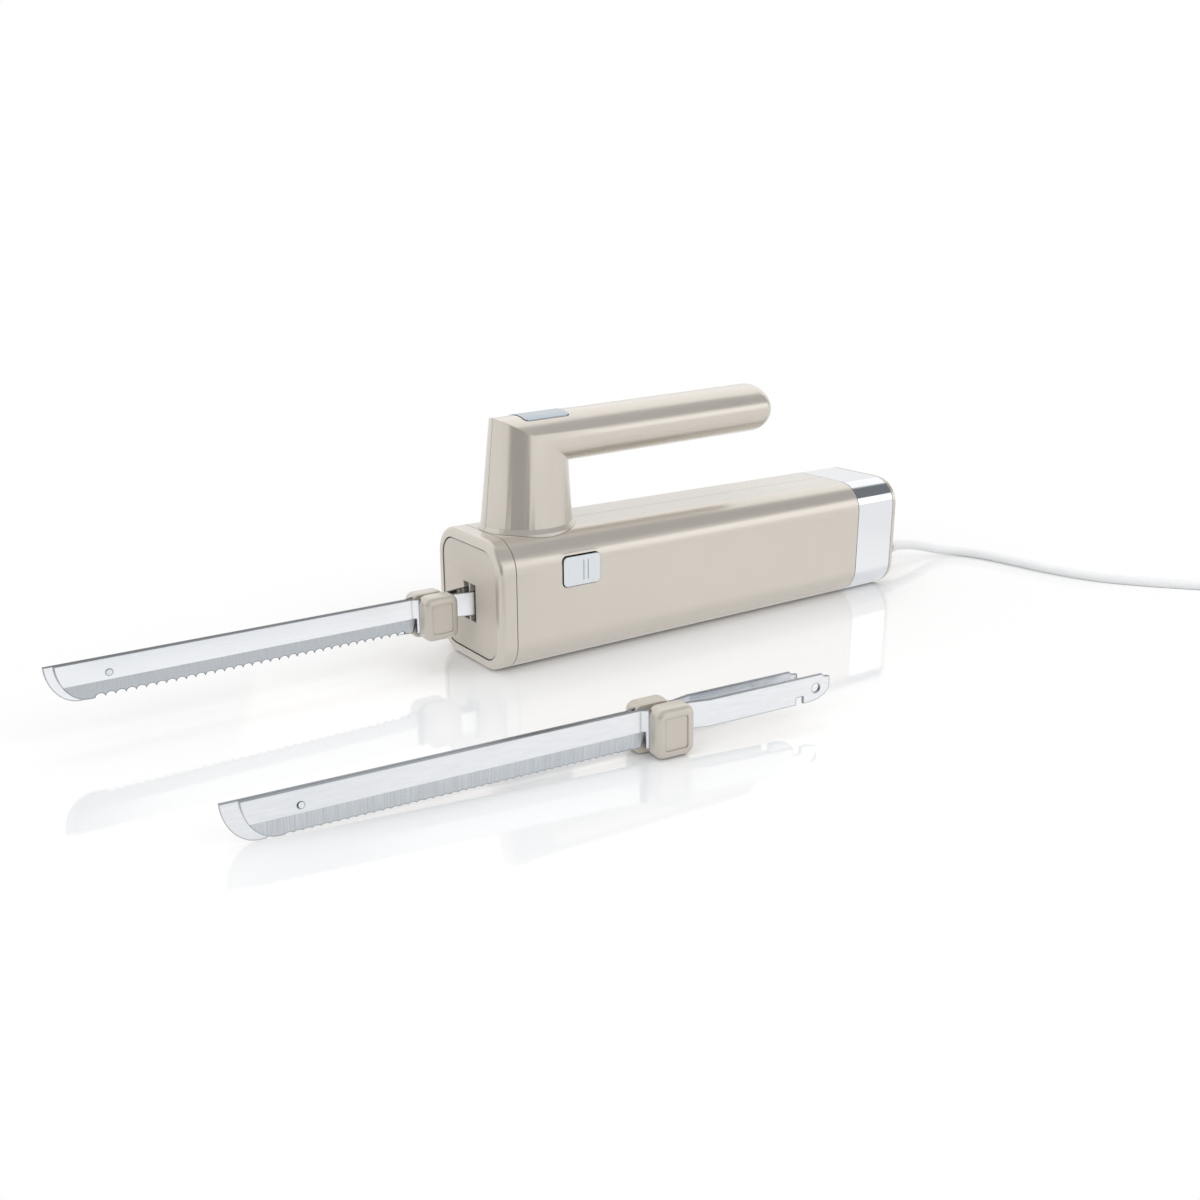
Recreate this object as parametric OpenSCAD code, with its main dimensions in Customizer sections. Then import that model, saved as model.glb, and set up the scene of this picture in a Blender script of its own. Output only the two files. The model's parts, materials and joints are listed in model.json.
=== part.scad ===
// Electric carving knife with a second pair of blades.
// The blade tips point to -X, the mains lead leaves towards +X, and +Z is up.
// The origin lies on the flat underside, in the middle of the body's length and width.

/* [Body] */
// Width of the body across its sides
body_w = 64; // [62:1:68]
// Height of the body from the underside to the top
body_h = 67; // [65:1:70]
// Length of the body from the front face to the rear face
body_len = 278; // [276:1:290]
// Radius of the four long corners of the body
corner_r = 16; // [14:0.5:18]
// Wall of the moulded shells
wall = 2.4; // [2:0.1:2.8]
// Length of the front cap
cap_len = 9; // [8:0.5:10]
// Border of the front cap round the front plate
cap_border = 5; // [4.5:0.25:6]
// Length of the chrome band
band_len = 29; // [24:1:32]
// Depth of the rim behind the chrome band
rim_len = 3; // [2.5:0.25:4]

/* [Handle] */
// Place of the front of the post at its foot, behind the front face
post_front = 10.5; // [10:0.5:13]
// Length of the post's oval foot
post_foot_len = 48.8; // [46:0.2:50]
// Width of the post's oval foot
post_foot_w = 44; // [40:1:46]
// Rise of the handle's front top corner above the body
handle_rise = 56; // [52:0.5:60]
// How far the front of the post leans back over that rise
post_lean = 6; // [4:0.5:9]
// Length of the mitred joint between post and grip, measured along the body
mitre_run = 41.5; // [40:0.5:43]
// Height of the mitred joint between post and grip
mitre_drop = 24.7; // [23:0.1:25.5]
// Length of the grip from the mitred corner to its end
grip_len = 174; // [160:1:185]
// Width of the grip
grip_w = 35; // [32:1:38]
// Height of the grip at its rear end
grip_end_h = 26.6; // [26:0.2:29]
// Upward tilt of the grip in degrees
grip_tilt = 1.65; // [0:0.05:3]
// Wall of the handle shells
handle_wall = 2.4; // [2:0.1:2.8]

/* [Blades] */
// Height of a blade from its tooth tips to its spine
blade_h = 17.4; // [16:0.2:19]
// Thickness of one blade
blade_t = 1.4; // [1.2:0.1:1.6]
// Length of the left blade from its tip to the front of its hub
blade_len = 167.5; // [155:0.5:178]
// How far the tip of the right blade stands ahead of the left one
blade_lead = 4; // [3:0.5:5]
// Height of the ground bevel above the tooth tips
bevel_h = 7.6; // [6:0.2:9]
// Pitch of the coarse teeth
tooth_pitch = 4.3; // [4:0.1:5]
// Depth of the coarse teeth
tooth_depth = 1.8; // [1.2:0.1:2]
// Pitch of the fine teeth on the second pair
fine_pitch = 3.4; // [3:0.1:4]
// Depth of the fine teeth on the second pair
fine_depth = 0.6; // [0.4:0.1:0.8]
// Length of the tang behind the hub
tang_len = 73; // [71:0.5:75]
// Height of the tang
tang_h = 12.2; // [11:0.2:13]

/* [Hubs] */
// Length of a blade hub
hub_len = 18.8; // [17:0.2:20]
// Height of a blade hub
hub_h = 22.6; // [22:0.1:24]
// Distance from the underside of a hub up to the tooth tips
hub_drop = 3.8; // [3:0.1:4.2]
// Distance from the blades' parting plane to the outer face of a hub
hub_reach = 10; // [9:0.5:12]
// Gap between the left hub and the front face of the body
hub_gap = 10.8; // [10:0.2:13]

/* [Second pair] */
// Place of the second pair's hub behind the front face
spare_x = 3.8; // [-5:0.1:10]
// Place of the second pair beside the body's centre plane
spare_y = -144; // [-160:1:-100]
// Turn of the second pair about the vertical in degrees
spare_turn = -7.5; // [-10:0.5:10]

/* [Buttons] */
// Length of a blade release button
release_len = 22; // [20:0.5:23]
// Height of a blade release button
release_h = 15.2; // [14:0.2:17]
// Travel of a blade release button
release_travel = 3; // [2:0.5:3]
// Length of the switch trigger on top of the grip
trigger_len = 26; // [24:1:28]
// Width of the switch trigger
trigger_w = 18; // [15:1:19]
// Travel of the switch trigger
trigger_travel = 2.5; // [1.5:0.5:2.5]

/* [Drive] */
// Number of teeth on the drive gear
gear_teeth = 20; // [18:1:20]
// Module of the drive gear and the worm
gear_module = 1; // [0.9:0.05:1]
// Throw of each eccentric, which is half of a blade's stroke
crank_r = 3; // [2:0.25:3]
// Radius of the armature core
armature_r = 12.6; // [11:0.2:12.6]
// Length of the armature core and the field stack
stack_len = 32; // [28:1:34]

/* [Mains lead] */
// Diameter of the mains lead
cord_d = 6; // [5.5:0.1:6]
// Number of turns in the coil, in hundredths of a turn
coil_turns = 5.24; // [5.24]
// Radius of the coil's outer loops
coil_r = 41.7; // [40:0.1:44]

/* [Hidden] */
$fn = 48;

// Colours
taupe = [0.80, 0.776, 0.737];
taupe_dark = [0.74, 0.71, 0.67];
silver = [0.82, 0.83, 0.84];
chrome = [0.86, 0.87, 0.89];
steel = [0.72, 0.73, 0.75];
brass = [0.79, 0.64, 0.32];
copper = [0.74, 0.44, 0.24];
carbon = [0.16, 0.16, 0.17];
acetal = [0.93, 0.92, 0.88];
nylon = [0.36, 0.37, 0.39];
green = [0.14, 0.37, 0.22];
white = [0.93, 0.93, 0.92];

// Clearances shared by all pieces
over = 1;            // overrun of a cut past a face
slice = 0.02;        // thickness of the slices that a rounded edge is hulled from
fit = 0.15;          // gap between mouldings that locate each other
slide_gap = 0.25;    // gap round a piece that slides
turn_gap = 0.04;     // radial gap of a running shaft
touch_gap = 0.3;     // gap between pieces of different bodies that pass each other
seat_gap = 0.04;     // gap where the handle sits on the body
joint_line = 0.35;   // open line where two outer shells meet

// Body, front to rear
sides = [-1, 1];
corner_sides = [[1, -1], [1, 1], [-1, 1], [-1, -1]];
mid_z = body_h / 2;
shell_x = cap_len + joint_line;
band_x = body_len - rim_len - band_len;
shell_len = band_x - joint_line - shell_x;
inner_y = body_w / 2 - wall;
spigot_len = 4;
spigot_wall = 1.7;
cap_round = 2.6;
rim_round = 1.2;
round_steps = 5;
plate_sunk = 0.5;
plate_seat = 3.2;
plate_ledge = 2.4;
plate_groove = 0.6;
rear_wall = 2.6;
vent_w = 2;
vent_h = 20;
vent_pitch = 4.2;
vent_count = 9;
vent_share = 0.642;
vent_z = vent_share * body_h;

// Blades and tangs
hub_z_share = 0.26;
hub_z = hub_z_share * body_h;
edge_z = hub_z + hub_drop;
spine_z = edge_z + blade_h;
hub_rear = -hub_gap;
hub_front = hub_rear - hub_len;
blade_gap = 0.2;
hub_lag = -2.2;
blade_plane = (blade_gap + blade_t) / 2;
tip_x = hub_front - blade_len;
tip_long = 13;
tip_steps = 14;
tooth_start = 14.7;
tooth_end = 6.5;
edge_t = 0.35;
jog_x = 3;
jog_len = 2.8;
hub_plane = 2.4;
splay_len = 9;
tang_plane = 4.4;
tang_rise_share = 0.9;
tang_z = edge_z + (blade_h - tang_h) * tang_rise_share;
tang_x = hub_rear + tang_len;
tang_key = 6;
tang_hole_r = 2.2;
tang_hole_x = 7.3;
tang_hole_z = tang_z + tang_h / 2;
notch_x = 14;
notch_w = 4;
notch_h = 3.5;
nose_shares = [[-0.32, 1], [-0.25, 0.9], [0, 0.87], [0, 0.42], [-0.2, 0.2], [-0.5, 0.06], [-0.85, 0]];
neck_share = 0.35;
neck_x = hub_front + hub_len * neck_share;
rivet_shares = [0.1284, 0.62];
rivet_x = tip_x + rivet_shares[0] * blade_len;
rivet_z = edge_z + rivet_shares[1] * blade_h;
rivet_r = 1.35;
rivet_head_r = 2.3;
rivet_head_t = 0.6;
rivet_proud = 0.15;

// Hubs
hub_inner = 1;
hub_r = 4.5;
hub_round = 3;
hub_back = 1;
hub_steps = 7;
hub_rim = 3.8;
hub_panel_r = 1.2;
hub_panel_depth = 0.5;
hub_fit = 0.03;

// Slots for the tangs in the front plate
slot_wall = 1.6;
slot_w = 5.2;
slot_h = 19.6;
slot_y = (slot_wall + slot_w) / 2;
slot_z = tang_z + tang_h / 2 - 0.3 * blade_t;

// Stroke of the blades about the place where the photograph shows them
rest_lead = hub_lag / 2;
slot_reach = 2 * (crank_r + rest_lead);
slot_back = 2 * (crank_r - rest_lead);

// Handle
post_rear = post_front + post_foot_len;
post_mid = post_front + post_foot_len / 2;
handle_top = body_h + handle_rise;
mitre_x = post_front + post_lean;
mitre_tilt = atan2(mitre_drop, mitre_run);
elbow_x = mitre_x + mitre_run / 2;
elbow_z = handle_top - mitre_drop / 2;
mitre_half = norm([mitre_run, mitre_drop]) / 2;
grip_start_half = mitre_half * sin(mitre_tilt + grip_tilt);
grip_reach = grip_len - mitre_run / 2;
end_round = 9;
end_steps = 9;
handle_sides = 48;
post_sink = 4;
collar_h = 2;
collar_out = 1.4;
collar_in = handle_wall / 2;
grip_shares = [0.25, 0.5, 0.75];
collar_top = collar_h * (collar_out + collar_in) / collar_out;
spigot_x = post_front + 7;
spigot_end = post_rear - 7;
spigot_y = 9;
flange_out = 3.5;
flange_t = 2;
wire_hole_len = 18;
wire_hole_w = 10;

// Switch and trigger in the elbow
trigger_set = 13.5;
trigger_x = mitre_x + trigger_set;
trigger_mid = trigger_x + trigger_len / 2;
trigger_t = 3;
trigger_proud = 0.35;
trigger_corner = 2;
trigger_gap = 0.35;
trigger_z = elbow_z + (trigger_mid - elbow_x) * tan(grip_tilt);
trigger_under = trigger_z + grip_start_half - trigger_t;
switch_len = 20;
switch_w = 8.4;
switch_h = 11;
trigger_rest = 1.8;
switch_top = trigger_under - trigger_travel - trigger_rest;
switch_x = trigger_mid - switch_len / 2;
plunger_r = 1.4;
plunger_reach = 2;
shelf_t = 2;
trigger_spring_r = 2.8;
spring_wire = 0.5;
spring_turns = 4;

// Release buttons and latch springs
release_x = 36.2;
release_mid = release_x + release_len / 2;
release_z_share = 0.721;
release_z = release_z_share * body_h;
release_r = 2.5;
release_proud = 0.7;
release_dome = 0.5;
release_ridge_w = 0.6;
release_gap = 0.45;
release_ridge_shares = [0.04, 0.16];
sleeve_wall = 1.4;
sleeve_len = 5;
release_flange = 1;
release_flange_t = 1.2;
stem_r = 2.6;
release_spring_r = 3.8;
latch_t = 0.5;
latch_end = 14;
latch_h = 9;
latch_tab_w = 9;
peg_r = 1.9;

// Gear train
pitch_r = gear_module * gear_teeth / 2;
worm_pitch_r = 4 * gear_module;
gear_x = 82;
gear_z = mid_z - pitch_r - worm_pitch_r;
gear_half = 3;
tooth_add = 0.8 * gear_module;
tooth_ded = 1.2 * gear_module;
tooth_tip = 0.7 * gear_module;
tooth_root = 1.5 * gear_module;
worm_add = 0.8 * gear_module;
worm_core_r = worm_pitch_r - 1.1 * gear_module;
worm_lead = PI * gear_module;
worm_loops = 5;
worm_tip = 0.6 * gear_module;
worm_base = 1.3 * gear_module;
worm_sides = 24;
cam_r = 6;
cam_t = 3;
axle_r = 2;
axle_head_r = 3;
axle_head_t = 1;
crank_angle = acos(-rest_lead / crank_r);
gear_bore_r = axle_r + turn_gap;

// Blade carriers
yoke_y = gear_half + cam_t + touch_gap;
yoke_t = 4;
yoke_rim = 3.4;
yoke_slot = cam_r + slide_gap;
yoke_slot_h = cam_r + crank_r + 2 * slide_gap;
carrier_x = 24;
carrier_len = 42;
carrier_low = 3;
carrier_high = 3.4;
carrier_z = tang_z - carrier_low;
carrier_h = carrier_low + tang_h + carrier_high;
socket_wall = 1.4;
socket_y = tang_plane - blade_t / 2 - socket_wall;
link_h = 9.6;
latch_room = 1.3;
frame_y = yoke_y + yoke_t + latch_room;
frame_t = 2.5;
frame_x = 22;
frame_end = 106;
frame_rim = 5.3;
frame_top = release_z + stem_r + frame_rim;
frame_floor = 2.5;
guide_t = 5;
guide_rim = 4;
guide_top = carrier_z + carrier_h + guide_rim;
window_x = 30;
window_end = 72;
window_rim = 1.9;
window_z = carrier_z - window_rim;
window_top = carrier_z + carrier_h + window_rim;
bulkhead_x = 96;
bulkhead_t = 8;
bulkhead_rim = 8.5;
front_bearing_r = 8;
bulkhead_top = mid_z + front_bearing_r + bulkhead_rim;

// Motor
shaft_r = 2.5;
shaft_nose = 11;
shaft_x = gear_x - shaft_nose;
rear_bearing_r = 6;
rear_bearing_t = 6;
fan_clear = 2;
fan_x = frame_end + fan_clear;
fan_len = 9;
fan_r = 19;
fan_hub_r = 6;
fan_blades = 9;
fan_blade_t = 1.2;
fan_disc_t = 1.6;
stack_x = 128;
stack_w = 44;
stack_r = 6;
stack_gap = 0.5;
pole_y = 8.8;
coil_w = 5;
coil_z = 14.6;
coil_t = 3.4;
end_turn = 6.5;
end_turn_gap = 0.3;
slot_count = 12;
core_slot_w = 1.6;
core_slot_depth = 3;
winding_gap = 5.5;
commutator_x = stack_x + stack_len + end_turn + winding_gap;
commutator_len = 13;
commutator_r = 9;
segment_gap = 0.5;
segment_depth = 1;
brush_w = 6.4;
brush_len = 9.5;
brush_gap = 0.25;
holder_wall = 1;
holder_len = 15;
holder_gap = 1.4;
holder_y = commutator_r + holder_gap;
rear_frame_gap = 6;
rear_frame_x = commutator_x + commutator_len + rear_frame_gap;
rear_frame_t = 8;
rear_frame_bar = 16;
shelf_w = 11;
shelf_h = 2.4;
rib_t = 2.5;
rib_set = 3;
rib_x = [stack_x + rib_set, stack_x + stack_len - rib_set - rib_t,
    rear_frame_x + (rear_frame_t - rib_t) / 2];

// Filter board and leads
board_gap = 5;
board_x = rear_frame_x + rear_frame_t + board_gap;
board_len = 29;
board_w = 40;
board_t = 1.6;
board_z = 13;
ledge_w = 6;
ledge_t = 3;
ledge_inset = 3;
capacitor_size = [11, 18, 14];
choke_r = 6.5;
choke_hole_r = 3;
choke_h = 7;
terminal_size = [9, 16, 10];
lead_r = 1;
lead_y = 3;
lead_drop = 4.6;
lead_z = body_h - wall - lead_drop;
lead_notch = [14, 7];

// Screws
screw_front = 16;
screw_mid = 120;
screw_back = 8;
screw_rear = band_x - screw_back;
screw_inset = 6.5;
screw_places = [[screw_front, screw_inset], [screw_mid, screw_inset], [screw_rear, screw_inset],
    [screw_rear, body_h - screw_inset]];
boss_r = 3.1;
screw_r = 1.4;
screw_bite = 9;
screw_seat = 15;
screw_head_r = 2.5;
screw_head_t = 2;
screw_drive_w = 0.8;
screw_drive_depth = 0.9;

// Mains lead, strain relief, coil, tie and plug
cord_r = cord_d / 2;
cord_z = 13.5;
relief_len = 36;
relief_r = 5.4;
relief_end_r = 3.9;
relief_collar_r = 7;
relief_collar_t = 2;
relief_flange_r = 8;
relief_flange_t = 2;
relief_grooves = 6;
relief_groove_w = 1.4;
relief_groove_depth = 0.9;
cord_sides = 10;
cord_route = [[175, 0, 13.5], [183, 0, 12.9], [193, 0.3, 11.4], [204, 0.3, 8.8], [214, -0.3, 6],
    [223, -2.6, 4], [230.5, -8, 3.2], [235, -16, 3], [238, -25.5, 3], [240, -37, 3], [241.5, -50, 3],
    [243, -64, 3], [245.4, -77, 3], [248.8, -90, 3], [253.2, -101, 3], [259, -111, 3],
    [265.5, -120.5, 3], [272.5, -129.5, 3], [280, -138, 3], [287.5, -147, 3], [295.5, -157, 3.1],
    [303.2, -167, 3.4], [311, -178, 3.8], [318.46, -189.01, 4]];
coil_middle = [357, -172];
coil_start = 212;
coil_pitch = 6.6;
coil_low = 4;
coil_rings = 24;
coil_sides = 6;
coil_in = coil_r - coil_pitch * coil_turns / 2;
tail_len = 26;
tail_drop = 3.6;
tie_angle = 60;
tie_t = 0.7;
tie_w = 5;
tie_gap = 0.2;
plug_len = 36;
plug_w = 35;
plug_neck_w = 12;
plug_h = 13;
plug_shares = [[0, 1], [0.22, 1], [0.5, 1.7], [0.82, 2.9], [1, 2.92]];
plug_round = 2.5;
pin_r = 2;
pin_len = 19;
pin_spacing = 18.6;

// Frames and helpers

module from_front() {
    translate([-body_len / 2, 0, 0]) children();
}

// Extrudes an outline drawn across the body, its own x along Y and its y along Z
module along_x(x, len) {
    translate([x, 0, 0]) rotate([90, 0, 90]) linear_extrude(len) children();
}

// Extrudes an outline drawn on the side, its own x along X and its y along Z
module along_y(y, len) {
    translate([0, y + len, 0]) rotate([90, 0, 0]) linear_extrude(len) children();
}

module rod_x(x, len, r) {
    translate([x, 0, 0]) rotate([0, 90, 0]) cylinder(h = len, r = r);
}

module rod_y(y, len, r) {
    translate([0, y + len, 0]) rotate([90, 0, 0]) cylinder(h = len, r = r);
}

module on_side(side) {
    if (side > 0) children();
    else mirror([0, 1, 0]) children();
}

module round_rect(w, h, r) {
    square([w - 2 * r, h], center = true);
    square([w, h - 2 * r], center = true);
    for (sx = sides, sy = sides)
        translate([sx * (w / 2 - r), sy * (h / 2 - r)]) circle(r);
}

module body_outline(inset) {
    translate([0, mid_z]) round_rect(body_w - 2 * inset, body_h - 2 * inset, corner_r - inset);
}

// The side view of a rounded end, its outer edges at x = 0
module end_profile(half, r, len) {
    translate([r, -half]) square([len - r, 2 * half]);
    translate([0, r - half]) square([len, 2 * (half - r)]);
    for (s = sides) translate([r, s * (half - r)]) circle(r);
}

module end_corner(r, len) {
    translate([0, r]) square([corner_r, len - r]);
    square([corner_r - r, len]);
    translate([corner_r - r, r]) circle(r);
}

// A rounded end facing -X: two bars that cross, and a quarter turn in each corner
module rounded_end(x, r, len) {
    translate([x, 0, 0]) {
        along_y(corner_r - body_w / 2, body_w - 2 * corner_r)
            translate([0, mid_z]) end_profile(body_h / 2, r, len);
        translate([0, 0, corner_r]) linear_extrude(body_h - 2 * corner_r)
            end_profile(body_w / 2, r, len);
        for (k = [0 : 3])
            translate([0, corner_sides[k][0] * (body_w / 2 - corner_r),
                mid_z + corner_sides[k][1] * (body_h / 2 - corner_r)])
                rotate([90 * k, 0, 0]) rotate([0, 90, 0])
                    rotate_extrude(angle = 90) end_corner(r, len);
    }
}

function unit(v) = v / norm(v);

function route_dir(pts, i) =
    unit(pts[min(i + 1, len(pts) - 1)] - pts[max(i - 1, 0)]);

function ring_at(p, dir, up, r, n) =
    let (a = unit(cross(up, dir)), b = cross(dir, a))
    [for (k = [0 : n - 1]) p + r * (cos(360 * k / n) * a + sin(360 * k / n) * b)];

// A closed skin through rings that all have the same number of points
module loft(rings) {
    n = len(rings[0]);
    last = len(rings) - 1;
    skin = [for (i = [0 : last - 1], k = [0 : n - 1])
        let (a = i * n + k, b = i * n + (k + 1) % n)
        each [[a, a + n, b + n], [a, b + n, b]]];
    caps = [for (k = [1 : n - 2]) each [[0, k, k + 1],
        [last * n, last * n + k + 1, last * n + k]]];
    polyhedron([for (ring = rings) each ring], concat(skin, caps));
}

// A round tube swept along points; up is never in line with the route
module tube(pts, r, n, up) {
    loft([for (i = [0 : len(pts) - 1]) ring_at(pts[i], route_dir(pts, i), up, r, n)]);
}

function helix(r, turns, height, steps) =
    [for (i = [0 : turns * steps])
        [r * cos(360 * i / steps), r * sin(360 * i / steps), height * i / (turns * steps)]];

// A compression spring from z = 0 to z = height
module coil_spring(r, height) {
    translate([0, 0, spring_wire / 2])
        tube(helix(r, spring_turns, height - spring_wire, 8), spring_wire / 2, 6, [0, 0, 1]);
}

// Housing shells

module screw_bosses() {
    intersection() {
        along_x(shell_x, shell_len) body_outline(wall / 2);
        for (place = screw_places)
            translate([place[0], 0, place[1]]) rod_y(-body_w / 2, body_w, boss_r);
    }
}

module motor_ribs() {
    for (x = rib_x)
        along_x(x, rib_t) difference() {
            body_outline(wall / 2);
            translate([0, mid_z]) square(stack_w + 2 * fit, center = true);
            translate([0, lead_z]) square(lead_notch, center = true);
        }
}

module board_ledges() {
    for (x = [board_x + ledge_inset, board_x + board_len - ledge_inset - ledge_t], s = sides)
        translate([x, s * (board_w - ledge_w) / 2 - ledge_w / 2, wall / 2])
            cube([ledge_t, ledge_w, board_z - wall / 2]);
}

module button_outline(extra) {
    translate([release_mid, release_z])
        round_rect(release_len + 2 * extra, release_h + 2 * extra, release_r + extra);
}

module housing_half(side) {
    color(taupe) from_front() difference() {
        union() {
            difference() {
                along_x(shell_x, shell_len) body_outline(0);
                along_x(shell_x - over, shell_len + 2 * over) body_outline(wall);
            }
            motor_ribs();
            board_ledges();
            screw_bosses();
            on_side(side) along_y(inner_y - sleeve_len, sleeve_len + wall / 2)
                button_outline(release_gap + sleeve_wall);
        }
        on_side(-side) translate([shell_x - over, 0, -over])
            cube([shell_len + 2 * over, body_w, body_h + 2 * over]);
        on_side(side) along_y(inner_y - sleeve_len - over, body_w) button_outline(release_gap);
        translate([spigot_x - fit, -spigot_y - fit, body_h - wall - over])
            cube([spigot_end - spigot_x + 2 * fit, 2 * (spigot_y + fit), wall + 2 * over]);
        for (place = screw_places) translate([place[0], 0, place[1]]) {
            rod_y(-screw_bite, screw_bite + screw_seat, screw_r + turn_gap);
            if (side > 0) rod_y(screw_seat, body_w, screw_head_r + fit);
        }
    }
}

module housing_left() housing_half(-1);
module housing_right() housing_half(1);

module front_cap() {
    color(taupe) from_front() difference() {
        union() {
            rounded_end(0, cap_round, cap_len);
            along_x(cap_len - over, spigot_len + over) body_outline(wall + fit);
        }
        along_x(-over, plate_seat + over) body_outline(cap_border);
        along_x(-over, cap_len) body_outline(cap_border + plate_ledge);
        along_x(plate_seat + plate_ledge, cap_len + spigot_len) body_outline(wall + fit + spigot_wall);
    }
}

module front_plate() {
    color(taupe) from_front() difference() {
        along_x(plate_sunk, plate_seat - plate_sunk) body_outline(cap_border + plate_groove);
        for (s = sides)
            along_x(-over, plate_seat + 2 * over) translate([s * slot_y, slot_z])
                square([slot_w, slot_h], center = true);
    }
}

module rear_chrome_band() {
    color(chrome) from_front() difference() {
        along_x(band_x, band_len - joint_line) body_outline(0);
        along_x(band_x - over, band_len + 2 * over) body_outline(wall);
    }
}

module rear_cap() {
    color(taupe) from_front() difference() {
        union() {
            translate([body_len, 0, 0]) mirror([1, 0, 0]) rounded_end(0, rim_round, rim_len);
            along_x(band_x - spigot_len, band_len + spigot_len + rim_len / 2) body_outline(wall + fit);
        }
        along_x(band_x - spigot_len - over, band_len + spigot_len + rim_len - rear_wall + over)
            body_outline(wall + fit + spigot_wall);
        translate([0, 0, cord_z]) rod_x(band_x, body_len, relief_r + fit);
        for (i = [0 : vent_count - 1])
            along_x(body_len - rear_wall - over, rear_wall + 2 * over)
                translate([(i - (vent_count - 1) / 2) * vent_pitch, vent_z])
                    round_rect(vent_w, vent_h, vent_w * 0.4);
    }
}

// Handle: one skin through oval rings, up the post, through the mitred joint and along the grip

// A ring's angle starts at the post's rear, which turns into the underside of the grip
function oval_ring(middle, dir, half, half_y) =
    [for (k = [0 : handle_sides - 1]) let (a = 360 * (k + 0.5) / handle_sides)
        middle + half * cos(a) * dir + [0, half_y * sin(a), 0]];

function foot_ring(z, grow) =
    oval_ring([post_mid, 0, z], [1, 0, 0], post_foot_len / 2 + grow, post_foot_w / 2 + grow);

function mitre_ring(inset) =
    oval_ring([elbow_x, 0, elbow_z], [cos(mitre_tilt), 0, -sin(mitre_tilt)],
        mitre_half - inset / sin(mitre_tilt + grip_tilt), grip_w / 2 - inset);

function grip_ring(reach, half, half_y) =
    oval_ring([elbow_x + reach * cos(grip_tilt), 0, elbow_z + reach * sin(grip_tilt)],
        [sin(grip_tilt), 0, -cos(grip_tilt)], half, half_y);

module handle_form(inset) {
    end_half = grip_end_h / 2;
    round_in = end_round - inset;
    loft(concat(
        [foot_ring(body_h - post_sink - (inset > 0 ? over : 0), -inset), foot_ring(body_h, -inset),
            mitre_ring(inset)],
        [for (t = grip_shares)
            grip_ring(t * grip_reach, grip_start_half + (end_half - grip_start_half) * t - inset,
                grip_w / 2 - inset)],
        [for (i = [0 : end_steps]) let (a = 90 * i / end_steps)
            grip_ring(grip_reach - end_round + round_in * sin(a),
                end_half - end_round + round_in * cos(a),
                grip_w / 2 - end_round + round_in * cos(a))]));
}

module trigger_plan(extra) {
    translate([trigger_mid, 0, elbow_z]) linear_extrude(grip_end_h)
        round_rect(trigger_len + 2 * extra, trigger_w + 2 * extra, trigger_corner + extra);
}

// The post's skin and its flared collar, cut to the curve of the body
module handle_shell() {
    difference() {
        union() {
            difference() {
                handle_form(0);
                handle_form(handle_wall);
            }
            loft([foot_ring(body_h - post_sink - over, collar_out), foot_ring(body_h, collar_out),
                foot_ring(body_h + collar_top, -collar_in)]);
        }
        along_x(0, body_len) body_outline(-seat_gap);
    }
}

module handle_foot() {
    translate([spigot_x, -spigot_y, body_h - wall - slide_gap])
        cube([spigot_end - spigot_x, 2 * spigot_y, wall + slide_gap + collar_h / 2]);
    translate([spigot_x - flange_out, -spigot_y - flange_out, body_h - wall - fit - flange_t])
        cube([spigot_end - spigot_x + 2 * flange_out, 2 * (spigot_y + flange_out), flange_t]);
}

module switch_shelf() {
    intersection() {
        translate([switch_x, -body_w / 2, switch_top - switch_h - shelf_t])
            cube([switch_len, body_w, shelf_t]);
        handle_form(handle_wall / 2);
    }
}

module handle_half(side) {
    color(taupe) from_front() difference() {
        union() {
            handle_shell();
            switch_shelf();
            handle_foot();
        }
        on_side(-side) translate([0, 0, body_h / 2])
            cube([body_len, body_w, body_h + handle_rise]);
        trigger_plan(trigger_gap);
        translate([post_mid - wire_hole_len / 2, -wire_hole_w / 2, body_h / 2])
            cube([wire_hole_len, wire_hole_w, body_h / 2 + collar_top + over]);
        translate([trigger_mid - wire_hole_len / 4, -wire_hole_w / 3, switch_top - 2 * switch_h])
            cube([wire_hole_len / 2, 2 * wire_hole_w / 3, switch_h + over]);
    }
}

module handle_left() handle_half(-1);
module handle_right() handle_half(1);

module trigger_button() {
    color(silver) from_front() {
        intersection() {
            difference() {
                handle_form(-trigger_proud);
                handle_form(trigger_t);
            }
            trigger_plan(0);
        }
        translate([trigger_mid, 0, switch_top - plunger_reach])
            cylinder(h = trigger_under - switch_top + plunger_reach + trigger_t / 2, r = plunger_r);
    }
}

module power_switch() {
    color(carbon) from_front() difference() {
        translate([switch_x, -switch_w / 2, switch_top - switch_h])
            cube([switch_len, switch_w, switch_h]);
        translate([trigger_mid, 0, switch_top - plunger_reach - trigger_travel - over])
            cylinder(h = switch_h, r = plunger_r + fit);
    }
}

module trigger_spring() {
    color(steel) from_front() translate([trigger_mid, 0, switch_top])
        coil_spring(trigger_spring_r, trigger_under - switch_top - 2 * fit);
}

// Release buttons, their springs and the latch springs

release_face = body_w / 2 + release_proud;
flange_y = inner_y - sleeve_len - touch_gap;
stem_end = frame_y + frame_t + fit;

module release_button(side) {
    color(silver) from_front() on_side(side) {
        difference() {
            along_y(flange_y - release_flange_t, release_face - flange_y + release_flange_t)
                button_outline(0);
            for (share = release_ridge_shares)
                along_y(release_face - release_dome / 2, release_dome)
                    translate([release_mid + share * release_len, release_z])
                        square([release_ridge_w, release_h - 2 * release_r], center = true);
        }
        along_y(flange_y - release_flange_t, release_flange_t) button_outline(release_flange);
        translate([release_mid, 0, release_z])
            rod_y(stem_end, flange_y - stem_end, stem_r);
    }
}

module release_button_left() release_button(-1);
module release_button_right() release_button(1);

module release_spring(side) {
    color(steel) from_front() on_side(side)
        translate([release_mid, frame_y + frame_t + fit, release_z]) rotate([-90, 0, 0])
            coil_spring(release_spring_r, flange_y - release_flange_t - frame_y - frame_t - 2 * fit);
}

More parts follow.
